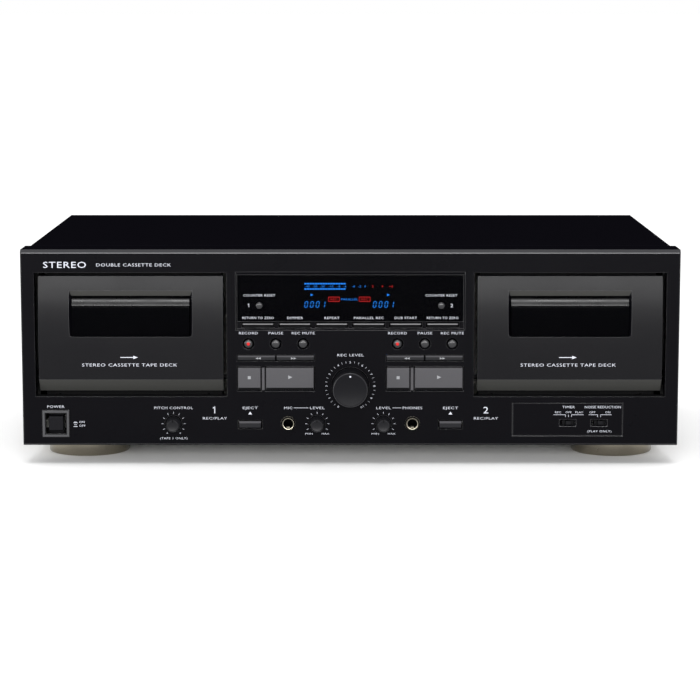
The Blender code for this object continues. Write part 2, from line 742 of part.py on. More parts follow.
def cassette_holder(deck, centre, hinge, materials):
    """The carrier that tilts with the door: a frame, two channels and two pins."""
    front, floor = DOOR_DEPTH + 0.4, CASSETTE_FLOOR
    outer = CASSETTE_HALF_WIDTH + HOLDER_WALL
    mesh = bmesh.new()
    box(mesh, centre - outer, centre + outer, front, SLOT_FRONT, floor - 3.4, HOLDER_TOP)
    holder = to_object(f"cassette_holder_{deck}", mesh, materials["mechanism_plastic"],
                       hinge_place(centre), hinge)
    side_wall = (CASSETTE_HALF_WIDTH, outer + 0.1,
                 SLOT_FRONT - BITE, SLOT_BACK + 1.4, floor - 3.2, HOLDER_TOP - 0.5)
    back_lip = (46.5, outer - 0.1, SLOT_BACK, SLOT_BACK + 1.2, floor - BITE, HOLDER_TOP - 1.0)
    shelf = (40.0, outer - 0.1, SLOT_FRONT - 0.8, SLOT_BACK + 0.8, floor - 1.8, floor)
    ear = (outer - 1.2, outer + 0.05,
           HINGE_DEPTH - 3.5, HINGE_DEPTH + 3.5, HINGE_HEIGHT - 3.5, floor)
    for near, far, *place in (side_wall, back_lip, shelf, ear):
        parts = bmesh.new()
        for hand in (-1, 1):
            box(parts, *mirrored(centre, hand, near, far), *place)
        join(holder, parts)
    pins = bmesh.new()
    for hand in (-1, 1):
        bar(pins, *mirrored(centre, hand, outer - 0.6, WELL_HALF_WIDTH + 1.6),
            circle(HINGE_DEPTH, HINGE_HEIGHT, HINGE_PIN_RADIUS, 12))
    join(holder, pins)
    sight = bmesh.new()
    box(sight, centre - SIGHT_HALF_WIDTH, centre + SIGHT_HALF_WIDTH, front - BITE,
        SLOT_FRONT + BITE, SIGHT_BOTTOM, SIGHT_TOP)
    cut(holder, sight)


def hinge_place(centre):
    return (centre, HINGE_DEPTH, HINGE_HEIGHT)


def doors(materials):
    for deck, centre in ((1, -DECK_X), (2, DECK_X)):
        hinge = pivot(f"door_hinge_{deck}", hinge_place(centre))
        door(deck, centre, hinge, materials)
        door_window(deck, centre, hinge, materials)
        cassette_holder(deck, centre, hinge, materials)


# --- Tape transports --------------------------------------------------------

def transport_chassis(deck, centre, materials):
    """The frame that carries reels, capstan and heads behind the compartment."""
    half, wall = TRANSPORT_HALF_WIDTH, 1.6
    mesh = bmesh.new()
    box(mesh, centre - half, centre + half, TRANSPORT_DEPTH, TRANSPORT_DEPTH + 26.0,
        TRANSPORT_BOTTOM, TRANSPORT_TOP)
    frame = to_object(f"transport_chassis_{deck}", mesh, materials["mechanism_plastic"])
    holes = bmesh.new()
    box(holes, centre - half + wall, centre + half - wall, TRANSPORT_DEPTH + wall,
        TRANSPORT_DEPTH + 40.0, TRANSPORT_BOTTOM + wall, TRANSPORT_TOP - wall)
    cut(frame, holes)
    shafts = bmesh.new()
    ends = (TRANSPORT_DEPTH - BITE, TRANSPORT_DEPTH + wall + BITE)
    for x in (-HUB_HALF_SPACING, HUB_HALF_SPACING):
        rod(shafts, centre + x, HUB_HEIGHT, SPINDLE_HOLE, 12, *ends)
    rod(shafts, centre + CAPSTAN_X, CAPSTAN_HEIGHT, CAPSTAN_HOLE, 12, *ends)
    cut(frame, shafts)


def reel_spindle(name, x, materials):
    """A finned reel drive on its shaft, with the reel table behind it."""
    mesh = bmesh.new()
    fins, tip, root = 6, 4.3, 2.6
    star = [
        (x + radius * math.sin(turn), HUB_HEIGHT + radius * math.cos(turn))
        for radius, turn in (
            (root if i % 2 else tip, math.pi * i / fins) for i in range(2 * fins)
        )
    ]

    def disc(radius):
        return circle(x, HUB_HEIGHT, radius, 2 * fins)
    loft(mesh, [(11.2, disc(1.8)), (13.0, star), (20.5, star), (20.5, disc(6.4)),
                (22.8, disc(6.4)), (22.8, disc(3.0)), (27.0, disc(3.0)),
                (27.0, disc(12.0)), (30.0, disc(12.0))])
    to_object(name, mesh, materials["mechanism_plastic"], (x, TRANSPORT_DEPTH, HUB_HEIGHT))


def capstan(deck, centre, materials):
    """The capstan shaft and the flywheel pressed onto it."""
    mesh = bmesh.new()
    place = (centre + CAPSTAN_X, TRANSPORT_DEPTH, CAPSTAN_HEIGHT)
    turned(mesh, place, [(-12.5, 0), (-12.5, 1.2), (9.0, 1.2), (9.0, 25.0), (16.0, 25.0), (16.0, 0)], 24)
    to_object(f"capstan_flywheel_{deck}", mesh, materials["nickel"], place)


def head_plate(deck, centre, materials):
    """The sliding plate with the record and erase heads and the pinch roller."""
    mesh = bmesh.new()
    front = TRANSPORT_DEPTH - 1.8
    box(mesh, centre - 33.0, centre + 33.0, front, front + 1.4, 46.0, 58.0)
    plate = to_object(f"head_plate_{deck}", mesh, materials["nickel"], (centre, front, 52.0))
    heads = bmesh.new()
    box(heads, centre - 6.2, centre + 6.2, 11.5, front + 0.7, 50.0, 61.5)
    box(heads, centre - 20.0, centre - 13.5, 12.5, front + 0.7, 51.0, 60.5)
    roller, stub = 6.2, 2.0
    turned(heads, (centre + CAPSTAN_X, 11.5, 55.0),
           [(0, 0), (0, roller), (8.0, roller), (8.0, stub), (11.4, stub), (11.4, 0)], 16)
    join(plate, heads)


def transports(materials):
    for deck, centre in ((1, -DECK_X), (2, DECK_X)):
        transport_chassis(deck, centre, materials)
        reel_spindle(f"supply_spindle_{deck}", centre - HUB_HALF_SPACING, materials)
        reel_spindle(f"takeup_spindle_{deck}", centre + HUB_HALF_SPACING, materials)
        capstan(deck, centre, materials)
        head_plate(deck, centre, materials)


# --- Buttons, knobs, switches and jacks -------------------------------------

def bar_places():
    return [BAR_PITCH * (i - 2.5) for i in range(6)]


def key(name, edges, proud, bevels, material, flange=0.8, behind=PANEL_WALL + GAP):
    """A push key: a bevelled cap through the panel, and a flange that keeps it in."""
    x0, x1, z0, z1 = edges
    side, foot, top = bevels
    depth_of_bevel = max(side, top)
    mesh = bmesh.new()
    loft(mesh, [
        (-proud, span(x0 + side, x1 - side, z0 + foot, z1 - top)),
        (depth_of_bevel - proud, span(x0, x1, z0, z1)),
        (behind, span(x0, x1, z0, z1)),
        (behind, span(x0, x1, z0 - flange, z1 + flange)),
        (behind + 1.6, span(x0, x1, z0 - flange, z1 + flange)),
    ])
    to_object(name, mesh, material, ((x0 + x1) / 2, -proud, (z0 + z1) / 2))


def round_button(name, x, z, radius, proud, behind, material):
    """A domed push button with a flange behind the panel."""
    mesh = bmesh.new()
    turned(mesh, (x, 0.0, z), [
        (-proud, 0), (0.25 - proud, radius * 0.7), (0.9 - proud, radius), (behind, radius),
        (behind, radius + 1.2), (behind + 1.4, radius + 1.2), (behind + 1.4, 0)], 16)
    to_object(name, mesh, material, (x, -proud, z))


def small_knob(name, x, material):
    """A level knob with a groove for a pointer, on its shaft."""
    mesh = bmesh.new()
    z, sides, groove = LOWER_ROW, 24, 0.7
    loft(mesh, [
        (-9.6, notched_circle(x, z, 3.8, sides, groove)),
        (-9.0, notched_circle(x, z, 4.3, sides, groove)),
        (0.5, notched_circle(x, z, 4.8, sides, groove)),
        (0.5, circle(x, z, 2.0, sides)),
        (11.0, circle(x, z, 2.0, sides)),
    ])
    to_object(name, mesh, material, (x, 0.0, z))


def recording_knob(material):
    mesh = bmesh.new()
    place = (0.0, 0.0, MAIN_KNOB_HEIGHT)
    turned(mesh, place, [
        (-KNOB_REACH, 0), (-KNOB_REACH, 10.3), (1.0 - KNOB_REACH, 11.3),
        (0.9, 11.7), (0.9, 3.0), (12.0, 3.0), (12.0, 0)], 40)
    to_object("recording_level_knob", mesh, material, place)


def jack(name, x, material):
    """A headphone-size socket: nut, threaded neck and body round a blind bore."""
    mesh = bmesh.new()
    bore, neck, nut, body = 3.25, 4.4, 5.0, 6.6
    turned(mesh, (x, 0.0, LOWER_ROW), [
        (20.0, 0), (20.0, bore), (-0.9, bore), (-1.3, 3.8), (-1.3, nut), (-0.35, nut),
        (-0.35, neck), (PANEL_WALL + GAP, neck), (PANEL_WALL + GAP, body),
        (23.0, body), (23.0, 0)], 16)
    to_object(name, mesh, material, (x, 0.0, LOWER_ROW))


def slide_switch(name, x, material):
    mesh = bmesh.new()
    z = SWITCH_HEIGHT
    loft(mesh, [
        (0.2, span(x - 1.6, x + 1.6, z - 1.2, z + 1.2)),
        (PANEL_WALL + GAP, span(x - 1.8, x + 1.8, z - 1.25, z + 1.25)),
        (PANEL_WALL + GAP, span(x - 4.0, x + 4.0, z - 2.8, z + 2.8)),
        (PANEL_WALL + 2.0, span(x - 4.0, x + 4.0, z - 2.8, z + 2.8)),
    ])
    to_object(name, mesh, material, (x, 0.2, z))


def controls(materials):
    grey, black = materials["key_grey"], materials["knob_black"]
    bar_names = ("return_to_zero_button_1", "dimmer_button", "repeat_button",
                 "parallel_record_button", "dub_start_button", "return_to_zero_button_2")
    for name, x in zip(bar_names, bar_places()):
        edges = (x - BAR_HALF_WIDTH, x + BAR_HALF_WIDTH,
                 BAR_HEIGHT - BAR_HALF_HEIGHT, BAR_HEIGHT + BAR_HALF_HEIGHT)
        key(name, edges, 0.6, (0.4, 0.3, 0.7), grey, flange=0.7)
    for deck, places in ROUND_PLACES.items():
        for label, x in zip(("record", "pause", "record_mute"), places):
            round_button(f"{label}_button_{deck}", x, ROUND_HEIGHT, ROUND_RADIUS, 1.4,
                         PANEL_WALL + GAP, black)
        left = KEY_BLOCK_LEFT[deck]
        middle = left + KEY_BLOCK_WIDTH / 2
        right = left + KEY_BLOCK_WIDTH
        rows, bevels = (WIND_BOTTOM, WIND_TOP), (0.3, 0.4, 0.9)
        key(f"rewind_button_{deck}", (left + 0.4, middle - GAP, *rows), 0.8, bevels, black)
        key(f"forward_button_{deck}", (middle + GAP, right - 0.4, *rows), 0.8, bevels, black)
        rows, bevels, edge = (KEY_BOTTOM, KEY_TOP), (0.4, 1.8, 0.5), 0.6
        stop_right, play_left = left + DIVIDER_LEFT - edge, left + DIVIDER_RIGHT + edge
        key(f"stop_button_{deck}", (left + edge, stop_right, *rows), 2.2, bevels, grey)
        key(f"play_button_{deck}", (play_left, right - edge, *rows), 2.2, bevels, grey)
        side = -1 if deck == 1 else 1
        x = side * EJECT_X
        edges = (x - EJECT_HALF_WIDTH, x + EJECT_HALF_WIDTH,
                 LOWER_ROW - EJECT_BELOW, LOWER_ROW + EJECT_ABOVE)
        key(f"eject_button_{deck}", edges, 2.4, (0.4, 0.8, 1.2), grey)
        round_button(f"counter_reset_button_{deck}", side * RESET_X, RESET_HEIGHT,
                     RESET_RADIUS, 0.9, DISPLAY_RECESS + 2.2, black)
    edges = (POWER_X - POWER_HALF, POWER_X + POWER_HALF,
             LOWER_ROW - POWER_HALF, LOWER_ROW + POWER_HALF)
    key("power_button", edges, -0.6, (0.3, 0.3, 0.5), black, flange=2.8,
        behind=PANEL_WALL + GAP + POWER_TRAVEL)
    recording_knob(black)
    for name, x in SMALL_KNOB_X.items():
        small_knob(name, x, black)
    for name, x in SWITCH_X.items():
        slide_switch(name, x, black)
    jack("mic_jack", -JACK_X, materials["nickel"])
    jack("phones_jack", JACK_X, materials["nickel"])


def main():
    clear_scene()
    materials = make_materials()
    front_panel(materials)
    top_cover(materials)
    bottom_chassis(materials)
    rear_panel(materials)
    feet(materials)
    main_board(materials)
    display_board(materials)
    display_window(materials)
    doors(materials)
    transports(materials)
    controls(materials)


main()
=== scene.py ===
"""The looks of a double cassette deck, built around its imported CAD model.

Lengths are metres in the frame's own axes: X to the right seen from the front,
-Y towards the viewer, Z up from the floor. MM turns millimetres into metres.
"""

import math

import bmesh
import bpy
from mathutils import Matrix, Vector


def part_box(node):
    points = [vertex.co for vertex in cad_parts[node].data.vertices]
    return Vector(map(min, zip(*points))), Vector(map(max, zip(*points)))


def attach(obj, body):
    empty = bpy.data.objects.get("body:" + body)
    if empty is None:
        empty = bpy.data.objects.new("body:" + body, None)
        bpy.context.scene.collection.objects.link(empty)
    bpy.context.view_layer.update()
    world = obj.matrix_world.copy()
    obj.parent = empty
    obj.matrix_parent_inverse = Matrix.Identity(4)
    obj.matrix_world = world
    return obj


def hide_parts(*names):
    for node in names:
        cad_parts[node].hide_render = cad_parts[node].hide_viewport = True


MM = 0.001
ROOT = "deck"

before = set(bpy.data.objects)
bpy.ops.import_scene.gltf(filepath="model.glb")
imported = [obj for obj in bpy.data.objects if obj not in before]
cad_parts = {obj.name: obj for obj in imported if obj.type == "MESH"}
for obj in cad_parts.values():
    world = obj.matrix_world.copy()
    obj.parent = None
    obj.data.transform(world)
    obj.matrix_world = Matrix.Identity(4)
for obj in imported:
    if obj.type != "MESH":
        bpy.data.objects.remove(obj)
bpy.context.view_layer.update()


def centre(node):
    low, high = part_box(node)
    return (low + high) / 2


def front_of(node):
    """The middle of the node's side that faces the viewer."""
    middle = centre(node)
    return Vector((middle.x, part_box(node)[0].y, middle.z))


# --- Places read from the frame ---
WINDOW_RECESS = 1.1 * MM
FACE_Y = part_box("display_window")[0].y - WINDOW_RECESS   # the front panel's face
FLOOR = 0.0
DECKS = (1, 2)
DOOR_CENTRE = {deck: centre(f"door_{deck}") for deck in DECKS}
LOWER_ROW = centre("mic_jack").z       # jacks, small knobs and the power key
NAME_ROW = LOWER_ROW + 10.6 * MM       # the names over them
BAR_KEYS = ("return_to_zero_button_1", "dimmer_button", "repeat_button", "parallel_record_button",
            "dub_start_button", "return_to_zero_button_2")
BAR_FLANGE = 0.7 * MM      # how far a bar key's hidden flange passes its cap
BAR_RISE = (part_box("dimmer_button")[1].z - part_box("dimmer_button")[0].z) / 2 - BAR_FLANGE
MAIN_KNOB = centre("recording_level_knob")
REAR_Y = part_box("rear_panel")[1].y - 1.0 * MM      # the inlet's frame stands proud of the sheet
INLET = Vector((-170.0 * MM, REAR_Y, 44.0 * MM))
INLET_DEPTH = 12.0 * MM
PHONO_COLUMNS = {"LINE IN": 70.0 * MM, "LINE OUT": 52.0 * MM}
PHONO_ROWS = {"L": 50.0 * MM, "R": 36.0 * MM}
PHONO_MIDDLE = sum(PHONO_ROWS.values()) / 2

# --- How a face's normal tells which way it faces ---
FORWARD = -0.02            # a smaller y than this faces the viewer
SLOPE = 0.1                # more z than this, up or down, is a slope
UPRIGHT = 0.9

# --- How far the edges of CAD parts are rounded ---
SOFT_EDGE = 0.25 * MM
CRISP_EDGE = 0.20 * MM
KEY_EDGE = 0.15 * MM
FINE_EDGE = 0.12 * MM
WELD_REACH = 0.002 * MM    # corners nearer than this are one corner

# --- Grain stretched along the way a metal was worked ---
TURNED = (40, 40, 1)
ROLLED = (30, 1, 1)

# --- Lettering ---
INK_LIFT = 0.03 * MM
INK_THICKNESS = 0.02 * MM
CAP_SHARE = 0.72           # a capital's height as a share of the font size
TITLE_CAPS = 2.1 * MM
SMALL_CAPS = 1.7 * MM      # names of controls
WINDOW_CAPS = 1.6 * MM     # names on the display window
TINY_CAPS = 1.2 * MM       # positions of controls
NOTE_CAPS = 1.2 * TINY_CAPS
HAIRLINE = 0.25 * MM
LETTER_STRETCH = 1.2
LETTER_SPACING = 1.1
LETTER_THINNING = 0.006    # taken off each side of a stroke, as a share of the font size
BOLD_CAPS = 2.6 * MM       # words as high as this keep their full strokes
PRINTED_WIDTHS = {         # in millimetres; other words take LETTER_STRETCH
    "RECORD": 12.4, "PAUSE": 9.6, "REC MUTE": 15.1, "EJECT": 9.9, "REC/PLAY": 16.0,
    "REC LEVEL": 17.5, "LEVEL": 9.7, "MIC": 5.4, "PHONES": 12.9, "MIN": 4.9, "MAX": 4.9,
    "PITCH CONTROL": 25.6, "(TAPE 1 ONLY)": 18.1, "POWER": 11.3,
    "NOISE REDUCTION": 23.9, "(PLAY ONLY)": 15.9,
    "STEREO": 28.3, "DOUBLE CASSETTE DECK": 49.2, "STEREO CASSETTE TAPE DECK": 63.0,
    "RETURN TO ZERO": 20.8, "DIMMER": 10.4, "REPEAT": 9.9, "PARALLEL REC": 19.6,
    "DUB START": 14.7, "COUNTER RESET": 20.9, "PARALLEL": 11.0,
    "LINE IN": 14.0, "LINE OUT": 14.0, "AC IN": 11.0,
}


# --- Materials ---

PATCH_SIZE = 35 * MM


def new_material(name):
    material = bpy.data.materials.new(name)
    material.use_nodes = True
    return material, material.node_tree, material.node_tree.nodes["Principled BSDF"]


def texture_noise(tree, size, detail=2.0, stretch=(1, 1, 1)):
    """A noise whose features are about size metres across, times stretch."""
    place = tree.nodes.new("ShaderNodeTexCoord")
    mapping = tree.nodes.new("ShaderNodeMapping")
    noise = tree.nodes.new("ShaderNodeTexNoise")
    mapping.inputs["Scale"].default_value = [1 / (size * s) for s in stretch]
    noise.inputs["Scale"].default_value = 1.0
    noise.inputs["Detail"].default_value = detail
    tree.links.new(place.outputs["Object"], mapping.inputs["Vector"])
    tree.links.new(mapping.outputs["Vector"], noise.inputs["Vector"])
    return noise.outputs["Fac"]


def spread(tree, value, low, high):
    """Maps a noise's middle range onto low to high."""
    node = tree.nodes.new("ShaderNodeMapRange")
    node.inputs["From Min"].default_value = 0.3
    node.inputs["From Max"].default_value = 0.7
    node.inputs["To Min"].default_value = low
    node.inputs["To Max"].default_value = high
    tree.links.new(value, node.inputs["Value"])
    return node.outputs["Result"]


def tint(tree, value, colour, change):
    """The colour, darker and lighter by change as value goes from 0 to 1."""
    node = tree.nodes.new("ShaderNodeMix")
    node.data_type = "RGBA"
    node.inputs["A"].default_value = [c * (1 - change) for c in colour] + [1.0]
    node.inputs["B"].default_value = [c * (1 + change) for c in colour] + [1.0]
    tree.links.new(value, node.inputs["Factor"])
    return node.outputs["Result"]


def bump(tree, shader, height, strength, distance):
    node = tree.nodes.new("ShaderNodeBump")
    node.inputs["Strength"].default_value = strength
    node.inputs["Distance"].default_value = distance
    tree.links.new(height, node.inputs["Height"])
    tree.links.new(node.outputs["Normal"], shader.inputs["Normal"])


def surface(name, colour, roughness, metallic=0.0, specular=0.5, grain=0.2 * MM,
            relief=0.004 * MM, spots=0.15, wear=0.1, stretch=(1, 1, 1)):
    """A finish with fine grain in its relief and colour, and soft patches in its sheen.

    Spots and wear are how far the grain changes the colour, and the patches the roughness.
    """
    material, tree, shader = new_material(name)
    shader.inputs["Metallic"].default_value = metallic
    shader.inputs["Specular IOR Level"].default_value = specular
    fine = texture_noise(tree, grain, detail=3.0, stretch=stretch)
    patches = texture_noise(tree, PATCH_SIZE, detail=4.0)
    bump(tree, shader, fine, 0.6, relief)
    tree.links.new(spread(tree, patches, roughness * (1 - wear), roughness * (1 + wear)),
                   shader.inputs["Roughness"])
    tree.links.new(tint(tree, fine, colour, spots), shader.inputs["Base Color"])
    return material


def glow(name, colour, strength):
    """A lit segment of the display, a little brighter in some places than in others."""
    material, tree, shader = new_material(name)
    shader.inputs["Roughness"].default_value = 0.5
    shader.inputs["Emission Strength"].default_value = strength
    cells = texture_noise(tree, 0.5 * MM)
    tree.links.new(tint(tree, cells, colour, 0.12), shader.inputs["Emission Color"])
    tree.links.new(tint(tree, cells, [c * 0.2 for c in colour], 0.12), shader.inputs["Base Color"])
    return material


def smoked(name, alpha, roughness, specular):
    """Smoked clear plastic: a dark, see-through body under a polished surface."""
    material, tree, shader = new_material(name)
    shader.inputs["Alpha"].default_value = alpha
    shader.inputs["Specular IOR Level"].default_value = specular
    shader.inputs["IOR"].default_value = 1.49
    haze = texture_noise(tree, 18 * MM, detail=5.0)
    tree.links.new(spread(tree, haze, roughness * 0.7, roughness * 1.3), shader.inputs["Roughness"])
    tree.links.new(tint(tree, haze, (0.0006, 0.0006, 0.0009), 0.2), shader.inputs["Base Color"])
    ripple = texture_noise(tree, 9 * MM)
    bump(tree, shader, ripple, 0.3, 0.02 * MM)
    return material


def make_finishes():
    return {
        "panel": surface(
            "panel_black", (0.0017, 0.0016, 0.0024), 0.30, specular=0.035, grain=0.22 * MM,
            relief=0.006 * MM, spots=0.25, wear=0.12),
        "door": surface(
            "door_black", (0.0018, 0.0017, 0.0026), 0.25, specular=0.115, grain=0.18 * MM,
            wear=0.08),
        "cover": surface(
            "cover_paint", (0.0027, 0.0025, 0.0038), 0.62, specular=0.0, grain=0.5 * MM,
            relief=0.03 * MM, spots=0.35),
        "steel": surface(
            "plated_steel", (0.46, 0.46, 0.44), 0.36, metallic=1.0, grain=0.3 * MM,
            relief=0.006 * MM, spots=0.08, wear=0.25, stretch=ROLLED),
        "key": surface(
            "key_grey", (0.044, 0.043, 0.047), 0.36, specular=0.2, grain=0.16 * MM, spots=0.18,
            wear=0.15),
        # Plain black for the inlet, jacks and display board, and painted shade where it stands for
        # shadow: knob grooves, screw crosses and the keys' lower faces.
        "shade": surface(
            "shaded_black", (0.0035, 0.0035, 0.0040), 0.5, specular=0.03, grain=0.16 * MM,
            spots=0.18, wear=0.15),
        "small_knob": surface("small_knob_black", (0.0055, 0.0055, 0.0068), 0.3, specular=0.14),
        # Light grey for the bar keys' upper slopes and the strip under the panel's top bevel: a
        # painted highlight.
        "bar": surface(
            "bar_painted_highlight_grey", (0.060, 0.060, 0.064), 0.3, grain=0.16 * MM, relief=0.003 * MM,
            spots=0.12),
        "button": surface(
            "button_black", (0.009, 0.009, 0.0105), 0.2, specular=0.4, grain=0.16 * MM,
            relief=0.003 * MM),
        # Lighter than the panel black: a painted highlight on the up-leaning top bevel and on the
        # level knob's rim ring.
        "lip": surface("panel_bevel_painted_highlight", (0.015, 0.015, 0.017), 0.34, specular=0.25),
        # Lighter than the panel black, with a strong specular: partly real sheen, partly a painted
        # highlight along the rounded edges.
        "edge": surface(
            "panel_edge_painted_highlight", (0.035, 0.035, 0.038), 0.26, specular=1.0, relief=0.003 * MM),
        # Lighter than the door black, with a strong specular: partly real sheen, partly a painted
        # highlight along the door's rounded edges.
        "door_edge_painted_highlight": surface(
            "door_edge_painted_highlight", (0.030, 0.030, 0.033), 0.26, specular=0.8, relief=0.003 * MM),
        # A little lighter than the panel black: painted light on the up-facing floors of the wells.
        "ledge_painted_light": surface("well_ledge_painted_light", (0.006, 0.006, 0.0065), 0.4, specular=0.05),
        "dark_key": surface(
            "key_dark", (0.009, 0.009, 0.0105), 0.34, specular=0.1, grain=0.16 * MM, spots=0.18,
            wear=0.15),
        # Far lighter than the door black: a painted reflection of the floor on the door's
        # down-leaning chamfer.
        "sill_painted_reflection": surface("door_sill_painted_reflection", (0.033, 0.033, 0.031), 0.6, specular=0.1, spots=0.12),
        "knob": surface(
            "knob_black", (0.0050, 0.0050, 0.0062), 0.36, specular=0.06, relief=0.005 * MM,
            spots=0.2, wear=0.12),
        "champagne": surface(
            "champagne_plate", (0.27, 0.245, 0.195), 0.25, metallic=1.0, grain=0.12 * MM,
            relief=0.008 * MM, spots=0.1, wear=0.12, stretch=TURNED),
        "nickel": surface(
            "nickel_plate", (0.36, 0.335, 0.265), 0.28, metallic=1.0, grain=0.12 * MM,
            relief=0.003 * MM, spots=0.06, wear=0.2),
        "bezel": surface(
            "bezel_grey", (0.030, 0.030, 0.033), 0.42, metallic=0.3, grain=0.15 * MM,
            relief=0.006 * MM, spots=0.12),
        "mechanism": surface(
            "mechanism_plastic", (0.0042, 0.0042, 0.0048), 0.5, specular=0.08, grain=0.35 * MM,
            relief=0.012 * MM, spots=0.2),
        "rubber": surface(
            "rubber", (0.015, 0.015, 0.015), 0.8, specular=0.3, grain=0.25 * MM,
            relief=0.02 * MM, spots=0.2, wear=0.05),
        "board": surface(
            "board_green", (0.025, 0.12, 0.05), 0.4, grain=0.8 * MM, relief=0.03 * MM,
            spots=0.35, wear=0.2),
        "symbol": surface(
            "key_ink", (0.20, 0.205, 0.215), 0.6, specular=0.2, grain=0.1 * MM,
            relief=0.003 * MM, spots=0.06, wear=0.05),
        "print": surface(
            "rear_ink", (0.012, 0.012, 0.013), 0.6, specular=0.2, grain=0.1 * MM,
            relief=0.003 * MM, spots=0.1, wear=0.05),
        "ink": surface(
            "label_ink", (0.44, 0.45, 0.50), 0.6, specular=0.2, grain=0.1 * MM,
            relief=0.003 * MM, spots=0.06, wear=0.05),
        "red": surface(
            "record_red", (0.42, 0.006, 0.006), 0.5, specular=0.15, spots=0.1, wear=0.05),
        "white": surface(
            "socket_white", (0.75, 0.75, 0.72), 0.4, grain=0.3 * MM, relief=0.006 * MM,
            spots=0.04, wear=0.05),
        "smoked": smoked("smoked_door_window", 0.93, 0.16, 0.01),
        "window_roll": smoked("smoked_window_roll", 0.97, 0.28, 0.42),
        "glass": smoked("smoked_display_window", 0.93, 0.08, 0.012),
        "blue": glow("display_blue", (0.02, 0.26, 1.0), 200.0),
        "red_glow": glow("display_red", (1.0, 0.03, 0.03), 125.0),
    }


# --- Mesh helpers ---

def piece(name, mesh, material, body=ROOT, angle=35.0):
    """Turns a bmesh in frame coordinates into a piece that rides on a body."""
    bmesh.ops.recalc_face_normals(mesh, faces=mesh.faces)
    data = bpy.data.meshes.new(name)
    mesh.to_mesh(data)
    mesh.free()
    data.shade_smooth()
    data.set_sharp_from_angle(angle=math.radians(angle))
    data.materials.append(material)
    obj = bpy.data.objects.new(name, data)
    bpy.context.scene.collection.objects.link(obj)
    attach(obj, body)
    return obj


def rings_to_skin(mesh, rings, loop=False):
    """Quads between rings of equal length, then a cap on each end or a join back to the first."""
    made = [[mesh.verts.new(p) for p in ring] for ring in rings]
    count = len(made[0])
    for first, second in zip(made, made[1:] + (made[:1] if loop else [])):
        for i in range(count):
            j = (i + 1) % count
            mesh.faces.new((first[i], first[j], second[j], second[i]))
    if not loop:
        mesh.faces.new(made[0])
        mesh.faces.new(reversed(made[-1]))


def lathe(mesh, place, profile, sides=96, upright=False, loop=False,
          ribs=0, rib_depth=0.0, ribbed=()):
    """A turned solid about an axis through place: front to back, or upwards.

    The profile is (distance along the axis, radius) pairs; with loop it is the
    outline of a ring. The profile points whose numbers are in ribbed get fine
    grip ribs of that depth.
    """
    rings = []
    for number, (along, radius) in enumerate(profile):
        ring = []
        for i in range(sides):
            turn = 2 * math.pi * i / sides
            r = radius
            if number in ribbed:
                r -= rib_depth * (0.5 + 0.5 * math.cos(ribs * turn))
            u, v = r * math.sin(turn), r * math.cos(turn)
            offset = Vector((u, v, along)) if upright else Vector((u, along, v))
            ring.append(place + offset)
        rings.append(ring)
    rings_to_skin(mesh, rings, loop)


def in_mm(*points):
    """Points written in millimetres, as metres."""
    return [tuple(value * MM for value in point) for point in points]


def rectangle(left, right, bottom, top, y):
    """The corners of an upright rectangle that faces the viewer."""
    return [(left, y, bottom), (right, y, bottom), (right, y, top), (left, y, top)]


def block(mesh, low, high):
    x0, y0, z0 = low
    x1, y1, z1 = high
    rings_to_skin(mesh, [rectangle(x0, x1, z0, z1, y) for y in (y0, y1)])


def strip(mesh, x0, z0, x1, z1, width, y=None):
    """A thin printed line on the front panel's face, from one point to another."""
    y = FACE_Y - INK_LIFT if y is None else y
    along = Vector((x1 - x0, 0, z1 - z0))
    across = Vector((-along.z, 0, along.x)).normalized() * (width / 2)
    a, b = Vector((x0, y, z0)), Vector((x1, y, z1))
    outline = [a - across, a + across, b + across, b - across]
    rings_to_skin(mesh, [outline, [p + Vector((0, INK_THICKNESS, 0)) for p in outline]])


def welded(obj):
    weld = obj.modifiers.new("Weld", "WELD")
    weld.merge_threshold = WELD_REACH


def bevelled(obj, width, edge_slot):
    """Rounds a CAD node's edges: joins its triangles, then bevels what is still sharp.

    edge_slot is the material slot of the rounded edges, or -1 for that of their faces.
    """
    welded(obj)
    flat = obj.modifiers.new("Planar", "DECIMATE")
    flat.decimate_type = "DISSOLVE"
    flat.angle_limit = math.radians(0.5)
    flat.delimit = {"MATERIAL"}
    edge = obj.modifiers.new("Bevel", "BEVEL")
    edge.width = width
    edge.segments = 2
    edge.limit_method = "ANGLE"
    edge.angle_limit = math.radians(30)
    edge.harden_normals = False
    edge.material = edge_slot
    normal = obj.modifiers.new("Normals", "WEIGHTED_NORMAL")
    normal.mode = "FACE_AREA"
    normal.keep_sharp = True


def finish_faces(node, material, wanted):
    """Gives a second finish to the faces of a node that wanted(normal, middle) picks."""
    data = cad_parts[node].data
    data.materials.append(material)
    for face in data.polygons:
        if wanted(face.normal, face.center):
            face.material_index = len(data.materials) - 1


def leans_up(normal, middle):
    return normal.y < FORWARD and normal.z > SLOPE


def leans_down(normal, middle):
    return normal.y < FORWARD and normal.z < -SLOPE


def faces_up(normal, middle):
    return normal.z > UPRIGHT


def dress(node, material, bevel=0.0, edge=None):
    """Gives a CAD node its finish, softens its edges, and can give those their own finish."""
    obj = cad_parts[node]
    stored = obj.data.attributes.get("custom_normal")
    if stored is not None:
        obj.data.attributes.remove(stored)
    obj.data.shade_smooth()
    obj.data.materials.clear()
    obj.data.materials.append(material)
    if edge:
        obj.data.materials.append(edge)
    if bevel:
        bevelled(obj, bevel, edge_slot=1 if edge else -1)
    return obj


def smoothed(node, material):
    """Gives a curved CAD node its finish, shaded smooth across its facets."""
    obj = dress(node, material)
    welded(obj)
    split = obj.modifiers.new("Creases", "EDGE_SPLIT")
    split.split_angle = math.radians(35)


# --- Lettering ---

